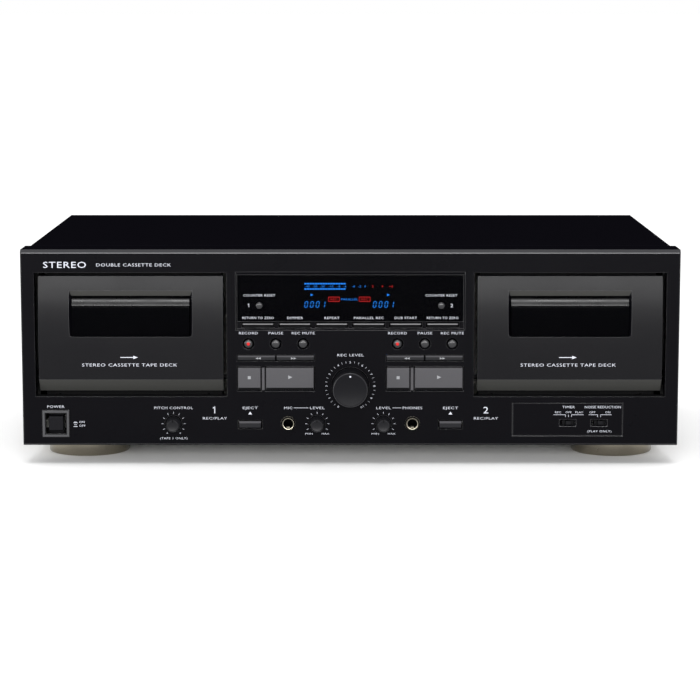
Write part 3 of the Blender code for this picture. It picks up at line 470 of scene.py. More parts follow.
def add_text(mesh, words, x, z, caps, align="CENTER", y=None, facing=1, turn=0.0):
    """Adds printed words to mesh, with capitals of that height, centred on z.

    They are stretched to their printed width, and read from behind if facing is -1.
    """
    curve = bpy.data.curves.new("words", "FONT")
    curve.body = words
    curve.size = caps / CAP_SHARE
    curve.align_x = align
    curve.resolution_u = 2
    curve.space_character = LETTER_SPACING
    curve.offset = -LETTER_THINNING * curve.size if caps < BOLD_CAPS else 0.0
    curve.extrude = INK_THICKNESS / 2
    holder = bpy.data.objects.new("words", curve)
    bpy.context.scene.collection.objects.link(holder)
    graph = bpy.context.evaluated_depsgraph_get()
    letters = bpy.data.meshes.new_from_object(holder.evaluated_get(graph))
    y = FACE_Y - INK_LIFT if y is None else y
    reach = [v.co.x for v in letters.vertices]
    stretch = LETTER_STRETCH
    if words in PRINTED_WIDTHS:
        stretch = PRINTED_WIDTHS[words] * MM / (max(reach) - min(reach))
    upright = Matrix.Rotation(math.radians(90), 4, "X")
    if facing < 0:
        upright = Matrix.Rotation(math.pi, 4, "Z") @ upright
    place = (Matrix.Translation((x, y, z)) @ Matrix.Rotation(-turn, 4, "Y") @ upright
             @ Matrix.Translation((0, -caps / 2, 0)) @ Matrix.Diagonal((stretch, 1, 1, 1)))
    letters.transform(place)
    mesh.from_mesh(letters)
    bpy.data.objects.remove(holder)
    bpy.data.curves.remove(curve)
    bpy.data.meshes.remove(letters)


def add_arc_ticks(mesh, middle, inner, outer, angles, width):
    """Short radial lines about a knob; angles are clockwise from the top, in degrees."""
    for angle in angles:
        turn = math.radians(angle)
        s, c = math.sin(turn), math.cos(turn)
        strip(mesh, middle.x + inner * s, middle.z + inner * c,
              middle.x + outer * s, middle.z + outer * c, width)


def add_polygon(mesh, points, y):
    """A printed shape from its (x, z) corners."""
    rings_to_skin(mesh, [[(x, y, z) for x, z in points],
                         [(x, y + INK_THICKNESS, z) for x, z in points]])


def add_triangle(mesh, x, z, width, height, direction, y=None):
    """A printed arrowhead: direction is 'right', 'left' or 'up'."""
    y = FACE_Y - INK_LIFT if y is None else y
    half, rise = width / 2, height / 2
    shapes = {
        "right": [(x - half, z - rise), (x + half, z), (x - half, z + rise)],
        "left": [(x + half, z - rise), (x + half, z + rise), (x - half, z)],
        "up": [(x - half, z - rise), (x + half, z - rise), (x, z + rise)],
    }
    add_polygon(mesh, shapes[direction], y)


def add_number(mesh, number, x, z, height, y=None):
    """A deck's number; its 1 is drawn with a flag so that it reads as a figure."""
    if number != 1:
        add_text(mesh, str(number), x, z, height, y=y)
        return
    line, flag, top = 0.13 * height, 0.26 * height, z + height / 2
    strip(mesh, x, z - height / 2, x, top, line, y)
    strip(mesh, x - flag, top - flag, x, top - 0.05 * height, line, y)


def panel_lettering(ink):
    """Everything printed on the front panel, as one piece."""
    mesh = bmesh.new()
    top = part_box("front_panel")[1].z
    add_text(mesh, "STEREO", -202.6 * MM, top - 9.8 * MM, 2 * TITLE_CAPS, "LEFT")
    add_text(mesh, "DOUBLE CASSETTE DECK", -167.6 * MM, top - 9.9 * MM, TITLE_CAPS, "LEFT")
    deck_marks(mesh)
    jack_marks(mesh)
    small_knob_marks(mesh)
    recording_scale(mesh)
    power_marks(mesh)
    switch_marks(mesh)
    piece("panel_lettering", mesh, ink)


def deck_marks(mesh):
    """Names of each deck's buttons, its eject mark and its number."""
    over_button, from_eject = 7.1 * MM, 23.5 * MM
    number_z, caption_z = LOWER_ROW + 9.2 * MM, LOWER_ROW + 3.6 * MM
    for deck in DECKS:
        for name, words in (("record", "RECORD"), ("pause", "PAUSE"), ("record_mute", "REC MUTE")):
            middle = centre(f"{name}_button_{deck}")
            add_text(mesh, words, middle.x, middle.z + over_button, SMALL_CAPS)
        x = centre(f"eject_button_{deck}").x
        add_text(mesh, "EJECT", x, NAME_ROW, SMALL_CAPS)
        add_triangle(mesh, x, LOWER_ROW + over_button, 2.6 * MM, 1.9 * MM, "up")
        number_x = x + math.copysign(from_eject, DOOR_CENTRE[deck].x)
        add_number(mesh, deck, number_x, number_z, 4.6 * MM)
        add_text(mesh, "REC/PLAY", number_x, caption_z, SMALL_CAPS)


def jack_marks(mesh):
    """The name of each jack, joined by a line to the name of its level knob."""
    past_level, past_name, to_mark = 5.9 * MM, 0.9 * MM, 5.4 * MM
    for jack, knob, words in (("mic_jack", "mic_level_knob", "MIC"),
                              ("phones_jack", "phones_level_knob", "PHONES")):
        socket, dial = centre(jack), centre(knob)
        add_text(mesh, words, socket.x, NAME_ROW, SMALL_CAPS)
        add_text(mesh, "LEVEL", dial.x, NAME_ROW, SMALL_CAPS)
        side = math.copysign(1, socket.x - dial.x)
        name_half = PRINTED_WIDTHS[words] * MM / 2
        strip(mesh, dial.x + side * past_level, NAME_ROW,
              socket.x - side * (name_half + past_name), NAME_ROW, HAIRLINE)
        for hand, mark in ((-1, "MIN"), (1, "MAX")):
            add_text(mesh, mark, dial.x + hand * to_mark, LOWER_ROW - 6.8 * MM, TINY_CAPS)


def small_knob_marks(mesh):
    """Ticks round the three small knobs, and the pitch knob's own words."""
    inner, outer, line = 6.7 * MM, 8.0 * MM, 0.22 * MM
    for knob in ("mic_level_knob", "phones_level_knob", "pitch_knob"):
        add_arc_ticks(mesh, centre(knob), inner, outer, range(-120, 121, 30), line)
    pitch = centre("pitch_knob")
    add_text(mesh, "PITCH CONTROL", pitch.x, NAME_ROW, SMALL_CAPS)
    add_text(mesh, "(TAPE 1 ONLY)", pitch.x, LOWER_ROW - 9.9 * MM, NOTE_CAPS)
    across, below, size = 4.3 * MM, 6.2 * MM, 0.8 * MM
    for hand in (-1, 1):
        add_triangle(mesh, pitch.x + hand * across, pitch.z - below, size, size, "up")


def recording_scale(mesh):
    """Figures 0 to 10 round the level knob, with two ticks between each pair."""
    radius, step, over_knob = 16.0 * MM, 30, 20.8 * MM
    inner, outer, line = radius - 0.5 * MM, radius + 0.8 * MM, 0.17 * MM
    add_text(mesh, "REC LEVEL", MAIN_KNOB.x, MAIN_KNOB.z + over_knob, SMALL_CAPS)
    for number in range(11):
        turn = math.radians(step * (number - 5))
        add_text(mesh, str(number), MAIN_KNOB.x + radius * math.sin(turn),
                 MAIN_KNOB.z + radius * math.cos(turn), 1.5 * MM, turn=-turn)
    between = [step * i + part for i in range(-5, 5) for part in (step // 3, 2 * step // 3)]
    add_arc_ticks(mesh, MAIN_KNOB, inner, outer, between, line)


def power_marks(mesh):
    """The power key's name, and small drawings of a key pressed in and out."""
    x, line = centre("power_button").x, 0.3 * MM
    base_left, base_right, inset = x + 11.6 * MM, x + 14.4 * MM, 0.5 * MM
    add_text(mesh, "POWER", x, LOWER_ROW + 11.4 * MM, SMALL_CAPS)
    for words, height, key_out in (("ON", 1.1 * MM, 0.0), ("OFF", -1.4 * MM, 0.7 * MM)):
        z = LOWER_ROW + height
        base = z - 0.6 * MM
        key = base + 0.5 * MM + key_out
        add_text(mesh, words, x + 15.4 * MM, z, 1.15 * TINY_CAPS, "LEFT")
        strip(mesh, base_left, base, base_right, base, line)
        strip(mesh, base_left + inset, key, base_right - inset, key, line)


def switch_marks(mesh):
    """Position names, with a bracket from each down to its slot."""
    timer, noise = centre("timer_switch"), centre("noise_reduction_switch")
    title = timer.z + 10.7 * MM
    add_text(mesh, "TIMER", timer.x, title, SMALL_CAPS)
    add_text(mesh, "NOISE REDUCTION", noise.x + 1.4 * MM, title, SMALL_CAPS)
    add_text(mesh, "(PLAY ONLY)", noise.x - 0.6 * MM, timer.z - 5.6 * MM, NOTE_CAPS)
    names = timer.z + 7.2 * MM
    shelf, foot = names - 1.7 * MM, names - 3.2 * MM
    positions = ((timer.x, 3.0, (("REC", -7.0, -2.0), ("OFF", 0.0, 0.0), ("PLAY", 7.0, 2.0))),
                 (noise.x, 2.4, (("OFF", -5.5, -2.0), ("ON", 4.8, 0.0))))
    for switch_x, overhang, marks in positions:
        for words, offset, tick in marks:
            word_x, tick_x = switch_x + offset * MM, switch_x + tick * MM
            add_text(mesh, words, word_x, names, 1.1 * TINY_CAPS)
            strip(mesh, tick_x, shelf, tick_x, foot, HAIRLINE)
            if offset:
                end = word_x + math.copysign(overhang * MM, offset)
                strip(mesh, end, shelf, tick_x, shelf, HAIRLINE)


def display_lettering(ink):
    """Names of the display keys, printed on the window over them."""
    mesh = bmesh.new()
    glass_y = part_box("display_window")[0].y - INK_LIFT
    over_bar, over_reset, to_number = 4.7 * MM, 6.7 * MM, 6.9 * MM
    names = ("RETURN TO ZERO", "DIMMER", "REPEAT", "PARALLEL REC", "DUB START", "RETURN TO ZERO")
    for node, words in zip(BAR_KEYS, names):
        middle = centre(node)
        add_text(mesh, words, middle.x, middle.z + over_bar, WINDOW_CAPS, y=glass_y)
    for deck in DECKS:
        middle = centre(f"counter_reset_button_{deck}")
        add_text(mesh, "COUNTER RESET", middle.x, middle.z + over_reset, WINDOW_CAPS, y=glass_y)
        number_x = middle.x + math.copysign(to_number, middle.x)
        add_number(mesh, deck, number_x, middle.z, 2.4 * MM, glass_y)
    piece("display_lettering", mesh, ink)


def stop_mark(mesh, x, z, y):
    half, z = 1.0 * MM, z + 1.0 * MM
    strip(mesh, x - half, z, x + half, z, 2 * half, y)


def play_mark(mesh, x, z, y):
    add_triangle(mesh, x + 0.3 * MM, z + 1.3 * MM, 2.7 * MM, 2.5 * MM, "right", y)


def wind_mark(mesh, x, z, y, direction):
    """Two arrowheads, nearer the gap between the two wind keys."""
    inward = 1.1 * MM if direction == "left" else -1.1 * MM
    for shift in (-0.9 * MM, 0.9 * MM):
        add_triangle(mesh, x + inward + shift, z - 0.1 * MM, 1.8 * MM, 1.5 * MM, direction, y)


def key_symbols(ink):
    """Transport symbols printed on the keys, each riding on its own key."""
    marks = {
        "stop": stop_mark,
        "play": play_mark,
        "rewind": lambda *place: wind_mark(*place, "left"),
        "forward": lambda *place: wind_mark(*place, "right"),
    }
    for deck in DECKS:
        for name, add_mark in marks.items():
            node = f"{name}_button_{deck}"
            middle = centre(node)
            mesh = bmesh.new()
            add_mark(mesh, middle.x, middle.z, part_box(node)[0].y - INK_LIFT)
            piece(f"{node}_symbol", mesh, ink, node)


def door_lettering(ink):
    """A tape direction arrow and a plain description on each door."""
    y, words_z = FACE_Y - INK_LIFT, 68.1 * MM
    arrow_z = words_z + 5.0 * MM
    for deck in DECKS:
        x = DOOR_CENTRE[deck].x
        mesh = bmesh.new()
        add_text(mesh, "STEREO CASSETTE TAPE DECK", x - 1.0 * MM, words_z, TITLE_CAPS, y=y)
        tail, head, tip = x - 7.0 * MM, x + 1.6 * MM, x + 4.6 * MM
        strip(mesh, tail, arrow_z, head, arrow_z, 0.5 * MM, y)
        add_triangle(mesh, (head + tip) / 2, arrow_z, tip - head, 2.2 * MM, "right", y)
        piece(f"door_lettering_{deck}", mesh, ink, f"door_assembly_{deck}")


# --- Display ---

SEGMENTS_OF = {"0": "abcdef", "1": "bc"}
METER_LEFT = -30.4 * MM


def add_digit(mesh, digit, x, z, width, height, y):
    """One leaning seven-segment figure whose lower left corner is at x, z."""
    bar, gap, lean = 0.4 * MM, 0.1 * MM, 0.16
    middle = height / 2
    places = {
        "a": (0, height, width, height), "d": (0, 0, width, 0),
        "f": (0, middle, 0, height), "b": (width, middle, width, height),
        "e": (0, 0, 0, middle), "c": (width, 0, width, middle),
    }
    for name in SEGMENTS_OF[digit]:
        x0, z0, x1, z1 = places[name]
        if z0 == z1:
            x0, x1 = x0 + gap + bar / 2, x1 - gap - bar / 2
        else:
            z0, z1 = z0 + gap + bar / 3, z1 - gap - bar / 3
        strip(mesh, x + x0 + lean * z0, z + z0, x + x1 + lean * z1, z + z1, bar, y)


def level_meter(blue, red, y):
    """Two rows of lit cells, with the scale between and beyond them."""
    z, pitch, cell, thickness, lit = 119.9 * MM, 1.72 * MM, 1.45 * MM, 0.95 * MM, 16
    for row in (-1.75 * MM, 1.75 * MM):
        for i in range(lit):
            x = METER_LEFT + i * pitch
            strip(blue, x, z + row, x + cell, z + row, thickness, y)
    quiet = {"-40": -28.4, "-30": -23.4, "-20": -18.4, "-10": -12.8, "-8": -7.6, "-6": -3.6,
             "-4": 2.0, "-2": 6.2, "0": 9.8}
    for words, x in quiet.items():
        add_text(blue, words, x * MM, z, 1.35 * MM, y=y)
    loud = {"2": 14.8, "4": 21.2, "+6": 26.9}
    for words, x in loud.items():
        add_text(red, words, x * MM, z, 1.5 * MM, y=y)


def tape_counters(blue, y):
    """A counter for each deck, under the arrow that shows which way its tape runs."""
    foot, width, height, pitch = 105.9 * MM, 1.8 * MM, 3.9 * MM, 3.8 * MM
    for left, arrow_x in ((METER_LEFT, -25.4 * MM), (15.0 * MM, 25.2 * MM)):
        for place, digit in enumerate("0001"):
            add_digit(blue, digit, left + place * pitch, foot, width, height, y)
        add_triangle(blue, arrow_x, foot + 8.3 * MM, width, 1.6 * MM, "right", y)


def display_contents(finishes):
    """What the tube shows: a level meter, two counters and the recording marks."""
    tube_y, marks_z = FACE_Y + 5.0 * MM, 111.3 * MM
    blue, red = bmesh.new(), bmesh.new()
    level_meter(blue, red, tube_y)
    tape_counters(blue, tube_y)
    add_text(blue, "PARALLEL", -0.6 * MM, marks_z, 1.4 * MM, y=tube_y)
    for x in (-10.8 * MM, 9.5 * MM):
        add_text(red, "REC", x, marks_z, 1.5 * MM, y=tube_y)
        add_box_outline(red, x, marks_z, 7.2 * MM, 2.9 * MM, 0.35 * MM, tube_y)
    piece("display_blue_segments", blue, finishes["blue"])
    piece("display_red_segments", red, finishes["red_glow"])


def add_box_outline(mesh, x, z, width, height, line, y):
    half, rise = width / 2, height / 2
    corners = rectangle(x - half, x + half, z - rise, z + rise, y)
    for (x0, _, z0), (x1, _, z1) in zip(corners, corners[1:] + corners[:1]):
        strip(mesh, x0, z0, x1, z1, line, y)


# --- Turned pieces ---

def foot_outline(radius, height):
    """From the pad's recess, round the lower chamfer and up past a groove to the chassis."""
    groove = radius - 0.3 * MM
    sole = [(0.6 * MM, radius - 4.2 * MM), (0.25 * MM, radius - 3.4 * MM),
            (0.2 * MM, radius - 0.9 * MM)]
    chamfer = [(0.35 * MM, radius - 0.4 * MM), (0.9 * MM, radius - 0.1 * MM), (1.3 * MM, radius)]
    ring = [(height - 2.0 * MM, radius), (height - 1.8 * MM, groove),
            (height - 1.5 * MM, groove), (height - 1.3 * MM, radius)]
    top = [(height - 0.3 * MM, radius), (height, groove)]
    return sole + chamfer + ring + top


def feet(finishes):
    """Each foot: a brushed skirt with a bright lower chamfer, round a rubber pad."""
    for node in ("foot_front_left", "foot_front_right", "foot_rear_left", "foot_rear_right"):
        low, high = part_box(node)
        middle = (low + high) / 2
        place = Vector((middle.x, middle.y, low.z))
        radius, height = (high.x - low.x) / 2, high.z - low.z
        mesh = bmesh.new()
        lathe(mesh, place, foot_outline(radius, height), sides=128, upright=True)
        ring = piece(f"{node}_skirt", mesh, finishes["champagne"])
        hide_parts(node)
        pad, pad_radius = bmesh.new(), radius - 5.0 * MM
        lathe(pad, place, [(0.0, pad_radius - 1.5 * MM), (0.15 * MM, pad_radius - 0.6 * MM),
                           (1.0 * MM, pad_radius), (1.4 * MM, pad_radius)], upright=True)
        piece(f"{node}_pad", pad, finishes["rubber"])


def recording_knob(finishes):
    """The large level knob: a shallow dished face, a ribbed grip, a rim ring lighter than the cap
    as a painted highlight, and a dot.
    """
    node = "recording_level_knob"
    place = front_of(node)
    length = FACE_Y + 0.9 * MM - place.y
    grip, skirt = 11.5 * MM, 11.7 * MM
    face = in_mm((0.25, 0.4), (0.20, 10.0), (0.0, 10.5), (0.0, 10.9))
    shoulder = in_mm((0.15, 11.2), (0.5, 11.4), (0.9, 11.5), (1.4, 11.5))
    ribs = [(1.8 * MM, grip), (length - 2.2 * MM, grip + 0.1 * MM)]
    foot = [(length - 1.9 * MM, skirt), (length, skirt)]
    first_rib = len(face + shoulder)
    mesh = bmesh.new()
    lathe(mesh, place, face + shoulder + ribs + foot, sides=288,
          ribs=72, rib_depth=0.22 * MM, ribbed=(first_rib, first_rib + 1))
    knob = piece(node + "_cap", mesh, finishes["knob"], node, angle=50.0)
    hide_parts(node)
    # A ring in a lighter colour round the face's edge: a painted highlight.
    rim = bmesh.new()
    lathe(rim, place, in_mm((0.0, 10.92), (0.12, 11.2), (0.45, 11.42), (0.6, 11.3), (0.3, 10.9)),
          sides=192, loop=True)
    piece(node + "_rim", rim, finishes["lip"], node)
    pointer = bmesh.new()
    lathe(pointer, place + Vector((0, 0.22 * MM, 8.9 * MM)),
          in_mm((-0.06, 0.55), (-0.03, 0.62), (0.1, 0.62)), sides=24)
    piece(node + "_pointer", pointer, finishes["ink"], node)


def small_knobs(finishes):
    """Smooth level knobs, with a dark block at the top of the face: painted shade for a pointer
    groove.
    """
    for node in ("pitch_knob", "mic_level_knob", "phones_level_knob"):
        place = front_of(node)
        length = FACE_Y + 0.4 * MM - place.y
        face = in_mm((0.15, 0.3), (0.12, 3.2), (0.0, 3.5))
        shoulder = in_mm((0.04, 3.75), (0.25, 4.05), (0.6, 4.25), (1.1, 4.3))
        skirt = [(length - 1.8 * MM, 4.6 * MM), (length - 1.5 * MM, 4.8 * MM), (length, 4.8 * MM)]
        mesh = bmesh.new()
        lathe(mesh, place, face + shoulder + skirt)
        knob = piece(node + "_cap", mesh, finishes["small_knob"], node, angle=50.0)
        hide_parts(node)
        # A dark block on the face: painted shade where a pointer groove would be.
        painted_notch_shade, half = bmesh.new(), 0.3 * MM
        block(painted_notch_shade, place + Vector((-half, -0.02 * MM, 2.3 * MM)),
              place + Vector((half, 1.4 * MM, 4.3 * MM)))
        piece(node + "_notch", painted_notch_shade, finishes["shade"], node)


def bar_keys(finishes):
    """The flat keys under the display: an upper slope in a light grey, a painted highlight, over a
    dark lower one.
    """
    crown, shoulder = 0.45 * MM, 1.0 * MM    # the bright slope lies between these heights
    for node in BAR_KEYS:
        low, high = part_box(node)
        middle, front, back = (low + high) / 2, low.y, low.y + 2.5 * MM
        rise, half = BAR_RISE, (high.x - low.x) / 2 - BAR_FLANGE
        profile = [(front + 0.5 * MM, -rise), (front + 0.15 * MM, 0.3 * MM - rise),
                   (front, crown), (front + 0.3 * MM, shoulder),
                   (front + 0.9 * MM, rise), (back, rise), (back, -rise)]
        mesh = bmesh.new()
        rings_to_skin(mesh, [[(x, y, middle.z + z) for y, z in profile]
                             for x in (middle.x - half, middle.x + half)])
        bar = piece(node + "_cap", mesh, finishes["shade"], node, angle=20.0)
        # The lower up-leaning faces get the light grey: a painted highlight on a dark cap.
        bar.data.materials.append(finishes["bar"])
        for face in bar.data.polygons:
            if leans_up(face.normal, face.center) and face.center.z < middle.z + shoulder:
                face.material_index = 1
        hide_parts(node)


def round_buttons(finishes):
    """Domed push buttons; the record ones carry a red dot."""
    dome = [(0.04, 0.35), (0.16, 0.65), (0.4, 0.86), (0.75, 0.97), (1.1, 1.0)]
    for deck in DECKS:
        for name in ("record", "pause", "record_mute", "counter_reset"):
            node = f"{name}_button_{deck}"
            low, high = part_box(node)
            radius = (2.4 if name == "counter_reset" else 2.85) * MM
            place, length = front_of(node), high.y - low.y
            rings = [(depth * MM, radius * share) for depth, share in dome]
            mesh = bmesh.new()
            lathe(mesh, place, [(0.0, 0.2 * MM)] + rings + [(length, radius)], sides=64)
            button = piece(node + "_cap", mesh, finishes["button"], node)
            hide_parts(node)
            if name == "record":
                record_dot(node, finishes["red"])


def record_dot(node, material):
    dot = bmesh.new()
    lathe(dot, front_of(node) + Vector((0, 0.12 * MM, 0)),
          in_mm((-0.17, 0.2), (-0.12, 0.9), (0.05, 1.45), (0.4, 1.5)), sides=48)
    piece(node + "_dot", dot, material, node)


def jacks(finishes):
    """Plated nuts round dark bores, with a contact spring low in each."""
    bore, nut, foot = 3.25 * MM, 5.0 * MM, 0.95 * MM
    outline = [(foot, bore), (0.4 * MM, bore), (0.1 * MM, bore + 0.2 * MM),
               (0.0, bore + 0.5 * MM), (0.0, nut - 0.6 * MM), (0.12 * MM, nut - 0.25 * MM),
               (0.4 * MM, nut), (foot, nut)]
    half = 1.1 * MM
    for node in ("mic_jack", "phones_jack"):
        place = front_of(node)
        mesh = bmesh.new()
        lathe(mesh, place, outline, loop=True)
        ring = piece(node + "_nut", mesh, finishes["nickel"])
        spring = bmesh.new()
        block(spring, place + Vector((-half, 2.0 * MM, 0.3 * MM - bore)),
              place + Vector((half, 8.0 * MM, 0.9 * MM - bore)))
        piece(node + "_contact", spring, finishes["nickel"])


# --- Trim ---

def power_bezel(finishes):
    """A square frame with a chamfered inner edge round the power key."""
    x, z = centre("power_button").x, LOWER_ROW
    outer, inner, front = 9.0 * MM, 6.95 * MM, FACE_Y - 0.95 * MM
    section = [(outer, FACE_Y), (outer, front + 0.35 * MM), (outer - 0.3 * MM, front),
               (inner + 0.45 * MM, front), (inner, front + 0.55 * MM), (inner, FACE_Y + 2.5 * MM)]
    mesh = bmesh.new()
    rings_to_skin(mesh, [rectangle(x - half, x + half, z - half, z + half, y)
                         for half, y in section], loop=True)
    piece("power_bezel", mesh, finishes["bezel"], angle=20.0)


def dividers(finishes):
    """The fixed grey spacer between the stop and play keys of each transport."""
    half, clear, chamfer, front = 0.95 * MM, 0.8 * MM, 0.25 * MM, FACE_Y - 1.95 * MM
    section = [(0.0, FACE_Y), (0.0, front + chamfer), (chamfer, front)]
    for deck in DECKS:
        stop_low, stop_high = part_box(f"stop_button_{deck}")
        middle = (stop_high.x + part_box(f"play_button_{deck}")[0].x) / 2
        bottom, top = stop_low.z + clear, stop_high.z - clear
        mesh = bmesh.new()
        rings_to_skin(mesh, [rectangle(middle - half + inset, middle + half - inset,
                                       bottom + inset, top - inset, y) for inset, y in section])
        piece(f"key_divider_{deck}", mesh, finishes["key"], angle=20.0)


def panel_arris(finishes):
    """A light grey strip under the panel's top bevel: a painted highlight along the arris."""
    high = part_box("front_panel")[1]
    side, z = high.x - 1.0 * MM, high.z - 2.3 * MM
    section = in_mm((-0.04, -0.12), (0.34, 0.45), (0.6, 0.1))
    mesh = bmesh.new()
    rings_to_skin(mesh, [[(x, FACE_Y + y, z + rise) for y, rise in section]
                         for x in (-side, side)])
    piece("panel_arris", mesh, finishes["bar"], angle=20.0)


def panel_seal(finishes):
    """The dark seal that keeps light out between the panel's rim and the cover."""
    low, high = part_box("front_panel")
    front, back, margin = high.y - 1.5 * MM, high.y + 0.25 * MM, 2.4 * MM
    outer_x, inner_x = high.x - margin, high.x - 8.5 * MM
    outside = (-outer_x, outer_x, low.z + margin, high.z - margin)
    inside = (-inner_x, inner_x, low.z + 7.0 * MM, high.z - 6.0 * MM)
    mesh = bmesh.new()
    rings_to_skin(mesh, [rectangle(*outside, front), rectangle(*outside, back),
                         rectangle(*inside, back), rectangle(*inside, front)], loop=True)
    piece("panel_seal", mesh, finishes["rubber"], angle=20.0)


# --- Screws and rear fittings ---

SCREW_RADIUS = 3.4 * MM
SCREW_RISE = 1.5 * MM


def screw_head(mesh):
    """A domed head about the origin, facing -Y."""
    dome = ((-1.0, 0.1), (-0.95, 0.45), (-0.7, 0.8), (-0.3, 1.0), (0.0, 1.0))
    lathe(mesh, Vector(), [(rise * SCREW_RISE, share * SCREW_RADIUS) for rise, share in dome], 32)


def screw_recess(mesh):
    """The cross in a head: two dark bars a hair proud of the dome, painted shade standing in for a
    recessed cross.
    """
    arm, half = 0.5 * SCREW_RADIUS, 0.3 * MM
    front, back = -SCREW_RISE - 0.02 * MM, -0.8 * SCREW_RISE
    block(mesh, (-arm, front, -half), (arm, back, half))
    block(mesh, (-half, front, -arm), (half, back, arm))


def add_placed(mesh, matrix, build):
    """Adds what build(mesh) makes about the origin, moved by matrix."""
    before = len(mesh.verts)
    build(mesh)
    mesh.verts.ensure_lookup_table()
    bmesh.ops.transform(mesh, matrix=matrix, verts=mesh.verts[before:])


def screws(name, places, head_finish, cross_painted_shade_finish):
    """Cross-head screws at (place, turn) pairs; a turn of 0 degrees faces the viewer."""
    # Each cross is drawn as dark bars: painted shade.
    heads, cross_painted_shades = bmesh.new(), bmesh.new()
    for place, turn in places:
        matrix = Matrix.Translation(place) @ Matrix.Rotation(math.radians(turn), 4, "Z")
        add_placed(heads, matrix, screw_head)
        add_placed(cross_painted_shades, matrix, screw_recess)
    piece(f"{name}_heads", heads, head_finish)
    piece(f"{name}_recesses", cross_painted_shades, cross_painted_shade_finish)


def fasteners(finishes):
    """Cover screws on both sides, and screws along the top and foot of the back."""
    side_x, foot_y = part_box("top_cover")[1].x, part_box("bottom_chassis")[1].y
    side_z, top_z, foot_z = 42.0 * MM, 137.0 * MM, 20.5 * MM
    sides = [(Vector((hand * side_x, y, side_z)), 90 * hand)
             for hand in (-1, 1) for y in (-62.0 * MM, 98.0 * MM)]
    screws("cover_screw", sides, finishes["dark_key"], finishes["shade"])
    top = [(Vector((x * MM, REAR_Y, top_z)), 180) for x in (-198.0, -66.0, 66.0, 198.0)]
    foot = [(Vector((x * MM, foot_y, foot_z)), 180) for x in (-150.0, 0.0, 150.0)]
    screws("rear_screw", top + foot, finishes["nickel"], finishes["shade"])


def phono_collars(finishes):
    """A black collar round each phono socket, with its root in the panel's hole."""
    inner, root, outer = 4.3 * MM, 5.4 * MM, 7.2 * MM
    behind, seat, chamfer, rise = -0.5 * MM, 0.02 * MM, 0.3 * MM, 1.2 * MM
    outline = [(behind, inner), (rise - chamfer, inner), (rise, inner + chamfer),
               (rise, outer - chamfer), (rise - chamfer, outer), (seat, outer),
               (seat, root), (behind, root)]
    mesh = bmesh.new()
    for x in PHONO_COLUMNS.values():
        for z in PHONO_ROWS.values():
            lathe(mesh, Vector((x, REAR_Y, z)), outline, sides=48, loop=True)
    piece("phono_collars", mesh, finishes["rubber"])


def mains_inlet_pins(finishes):
    mesh, apart = bmesh.new(), 3.4 * MM
    for hand in (-1, 1):
        lathe(mesh, INLET + Vector((hand * apart, -INLET_DEPTH, 0)),
              in_mm((-0.4, 1.2), (7.6, 1.2), (8.4, 0.6)), sides=24)
    piece("mains_inlet_pins", mesh, finishes["nickel"])


def rear_lettering(ink):
    """Names over the columns and beside the rows of sockets, and over the inlet."""
    mesh, y, caps, away = bmesh.new(), REAR_Y + INK_LIFT, 2.2 * MM, 11.5 * MM
    for name, x in PHONO_COLUMNS.items():
        add_text(mesh, name, x, PHONO_ROWS["L"] + away, caps, y=y, facing=-1)
    for name, z in PHONO_ROWS.items():
        add_text(mesh, name, PHONO_COLUMNS["LINE IN"] + away, z, BOLD_CAPS, y=y, facing=-1)
    add_text(mesh, "AC IN", INLET.x, INLET.z + 13.0 * MM, caps, y=y, facing=-1)
    piece("rear_lettering", mesh, ink)


# --- Finishes of the CAD nodes that stay in view ---

def dress_panel(finishes):
    """The front panel: its rounded edges and up-leaning top bevel lighter as painted highlights,
    its rim in the cover's paint, and the up-facing floors of its wells a little lighter as painted
    light.
    """
    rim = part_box("front_panel")[1].z - 1.0 * MM
    bevel_foot, well_floor = rim - 3.0 * MM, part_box("door_1")[0].z
    # The rounded edges take the lighter edge finish, a painted highlight.
    dress("front_panel", finishes["panel"], CRISP_EDGE, edge=finishes["edge"])
    # The up-leaning top bevel gets a lighter colour: a painted highlight.
    finish_faces("front_panel", finishes["lip"],
                 lambda normal, middle: leans_up(normal, middle) and middle.z > bevel_foot)
    finish_faces("front_panel", finishes["cover"],
                 lambda normal, middle: faces_up(normal, middle) and middle.z > rim)
    # The up-facing floors of the wells get a lighter colour: painted light.
    finish_faces("front_panel", finishes["ledge_painted_light"],
                 lambda normal, middle: faces_up(normal, middle) and middle.z < well_floor)


def dress_back(finishes):
    """The rear panel with its dark inlet, and the sockets with their coloured ends."""
    sheet, half, behind = REAR_Y - 0.5 * MM, 0.9 * MM, REAR_Y + 0.5 * MM
    dress("rear_panel", finishes["steel"], FINE_EDGE)
    finish_faces("rear_panel", finishes["shade"],
                 lambda normal, middle: abs(middle.y - sheet) > half)
    dress("main_board", finishes["board"], FINE_EDGE)
    finish_faces("main_board", finishes["nickel"], lambda normal, middle: middle.y > behind)
    for row, colour in ((1, "white"), (-1, "red")):
        finish_faces("main_board", finishes[colour],
                     lambda normal, middle: middle.y > behind and normal.y > UPRIGHT
                     and (middle.z - PHONO_MIDDLE) * row > 0)


def dress_display(finishes):
    """The display's board, dark where it faces the viewer, and its smoked window."""
    dress("display_board", finishes["board"], FINE_EDGE)
    finish_faces("display_board", finishes["shade"], lambda normal, middle: normal.y < -UPRIGHT)
    dress("display_window", finishes["glass"], FINE_EDGE)


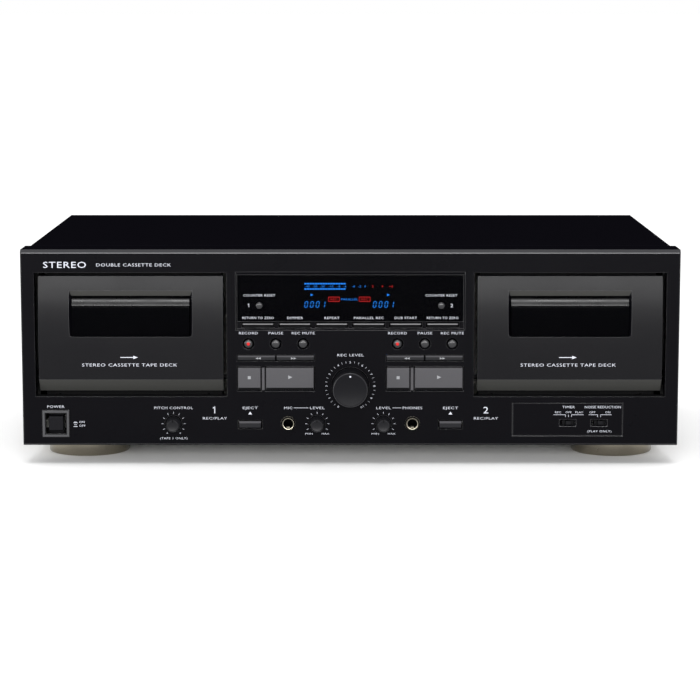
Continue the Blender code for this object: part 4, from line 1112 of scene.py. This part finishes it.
def dress_door(finishes, deck):
    """A door with its rounded edges lighter as a painted highlight and its down-leaning chamfer
    light grey as a painted reflection of the floor, and its window with a lit upper roll.
    """
    door, window = f"door_{deck}", f"door_window_{deck}"
    # The door's rounded edges take the lighter edge finish, a painted highlight.
    dress(door, finishes["door"], SOFT_EDGE, edge=finishes["door_edge_painted_highlight"])
    # The down-leaning chamfer gets a light grey: a painted reflection of the floor.
    finish_faces(door, finishes["sill_painted_reflection"],
                 lambda normal, middle: normal.y < FORWARD and -UPRIGHT < normal.z < -3 * SLOPE)
    smoothed(window, finishes["smoked"])
    finish_faces(window, finishes["window_roll"],
                 lambda normal, middle: normal.y < FORWARD and normal.z > 2.2 * SLOPE)


def dress_transport(finishes, deck):
    """What shows behind a door, and the keys under it."""
    for name in ("cassette_holder", "transport_chassis", "head_plate", "supply_spindle",
                 "takeup_spindle"):
        dress(f"{name}_{deck}", finishes["mechanism"], FINE_EDGE)
    dress(f"capstan_flywheel_{deck}", finishes["nickel"], FINE_EDGE)
    for name in ("stop", "play"):
        dress(f"{name}_button_{deck}", finishes["key"], CRISP_EDGE)
        # Their down-leaning faces get the dark shade finish: painted shade.
        finish_faces(f"{name}_button_{deck}", finishes["shade"], leans_down)
    for name in ("rewind", "forward", "eject"):
        dress(f"{name}_button_{deck}", finishes["dark_key"], KEY_EDGE)
        # Their up-leaning faces get the lighter key grey: a painted highlight.
        finish_faces(f"{name}_button_{deck}", finishes["key"], leans_up)


def dress_frame(finishes):
    dress_panel(finishes)
    dress("top_cover", finishes["cover"], SOFT_EDGE)
    dress("bottom_chassis", finishes["steel"], FINE_EDGE)
    dress_back(finishes)
    dress_display(finishes)
    for node in ("mic_jack", "phones_jack"):
        dress(node, finishes["shade"])
    for deck in DECKS:
        dress_door(finishes, deck)
        dress_transport(finishes, deck)
    dress("power_button", finishes["knob"], SOFT_EDGE)
    for node in ("timer_switch", "noise_reduction_switch"):
        dress(node, finishes["knob"], FINE_EDGE)


# --- Studio ---

CAMERA_ASIDE = 1.74 * MM
CAMERA_HEIGHT = 305.1 * MM
CAMERA_DISTANCE = 1579.15 * MM     # in front of the front panel
CAMERA_TILT = 8.18                 # degrees downwards
CAMERA_YAW = -0.07
CAMERA_LENS = 124.02
CAMERA_SENSOR = 36.0
FLOOR_REACH = 60.0                 # metres from the deck to the floor's edge


def studio():
    """A pale floor, white surroundings and three soft lights."""
    floor_mesh, reach = bmesh.new(), FLOOR_REACH
    corners = [(-reach, -reach), (reach, -reach), (reach, reach), (-reach, reach)]
    floor_mesh.faces.new([floor_mesh.verts.new((x, y, FLOOR - 0.05 * MM)) for x, y in corners])
    data = bpy.data.meshes.new("floor")
    floor_mesh.to_mesh(data)
    floor_mesh.free()
    data.materials.append(surface("floor_white", (0.9, 0.9, 0.9), 0.9, specular=0.0,
                                  grain=2 * MM, relief=0.01 * MM, spots=0.01, wear=0.05))
    floor = bpy.data.objects.new("floor", data)
    bpy.context.scene.collection.objects.link(floor)
    world = bpy.data.worlds.new("studio")
    world.use_nodes = True
    background = world.node_tree.nodes["Background"]
    background.inputs["Color"].default_value = (1.0, 1.0, 1.0, 1)
    background.inputs["Strength"].default_value = 1.0
    bpy.context.scene.world = world
    add_light("high_softbox", "SUN", place=(0, 0, 3), turn=(35, 0, 0), energy=1.08, angle=20)
    add_light("front_softbox", "AREA", place=(0, -2.3, 0.54), turn=(82, 0, 0), energy=44.0,
              size=(2.4, 0.48))
    add_light("side_softbox", "AREA", place=(-2.0, -1.4, 0.45), turn=(90, 0, -55), energy=17.0,
              size=(0.25, 0.8))
    camera()


def add_light(name, kind, place, turn, energy, angle=None, size=None):
    """A light at a place in metres, turned by degrees; an area light has a size."""
    light = bpy.data.lights.new(name, kind)
    light.energy = energy
    if angle:
        light.angle = math.radians(angle)
    if size:
        light.shape = "RECTANGLE"
        light.size, light.size_y = size
    obj = bpy.data.objects.new(name, light)
    obj.location = place
    obj.rotation_euler = [math.radians(t) for t in turn]
    bpy.context.scene.collection.objects.link(obj)


def camera():
    data = bpy.data.cameras.new("camera")
    data.lens = CAMERA_LENS
    data.sensor_width = CAMERA_SENSOR
    obj = bpy.data.objects.new("camera", data)
    obj.location = (CAMERA_ASIDE, FACE_Y - CAMERA_DISTANCE, CAMERA_HEIGHT)
    obj.rotation_euler = (math.radians(90 - CAMERA_TILT), 0, math.radians(-CAMERA_YAW))
    bpy.context.scene.collection.objects.link(obj)
    bpy.context.scene.camera = obj


def main():
    bpy.context.scene.view_settings.view_transform = "Standard"
    finishes = make_finishes()
    dress_frame(finishes)
    feet(finishes)
    recording_knob(finishes)
    small_knobs(finishes)
    bar_keys(finishes)
    round_buttons(finishes)
    jacks(finishes)
    power_bezel(finishes)
    dividers(finishes)
    panel_arris(finishes)
    panel_seal(finishes)
    fasteners(finishes)
    phono_collars(finishes)
    mains_inlet_pins(finishes)
    rear_lettering(finishes["print"])
    display_contents(finishes)
    panel_lettering(finishes["ink"])
    display_lettering(finishes["ink"])
    key_symbols(finishes["symbol"])
    door_lettering(finishes["ink"])
    studio()


main()
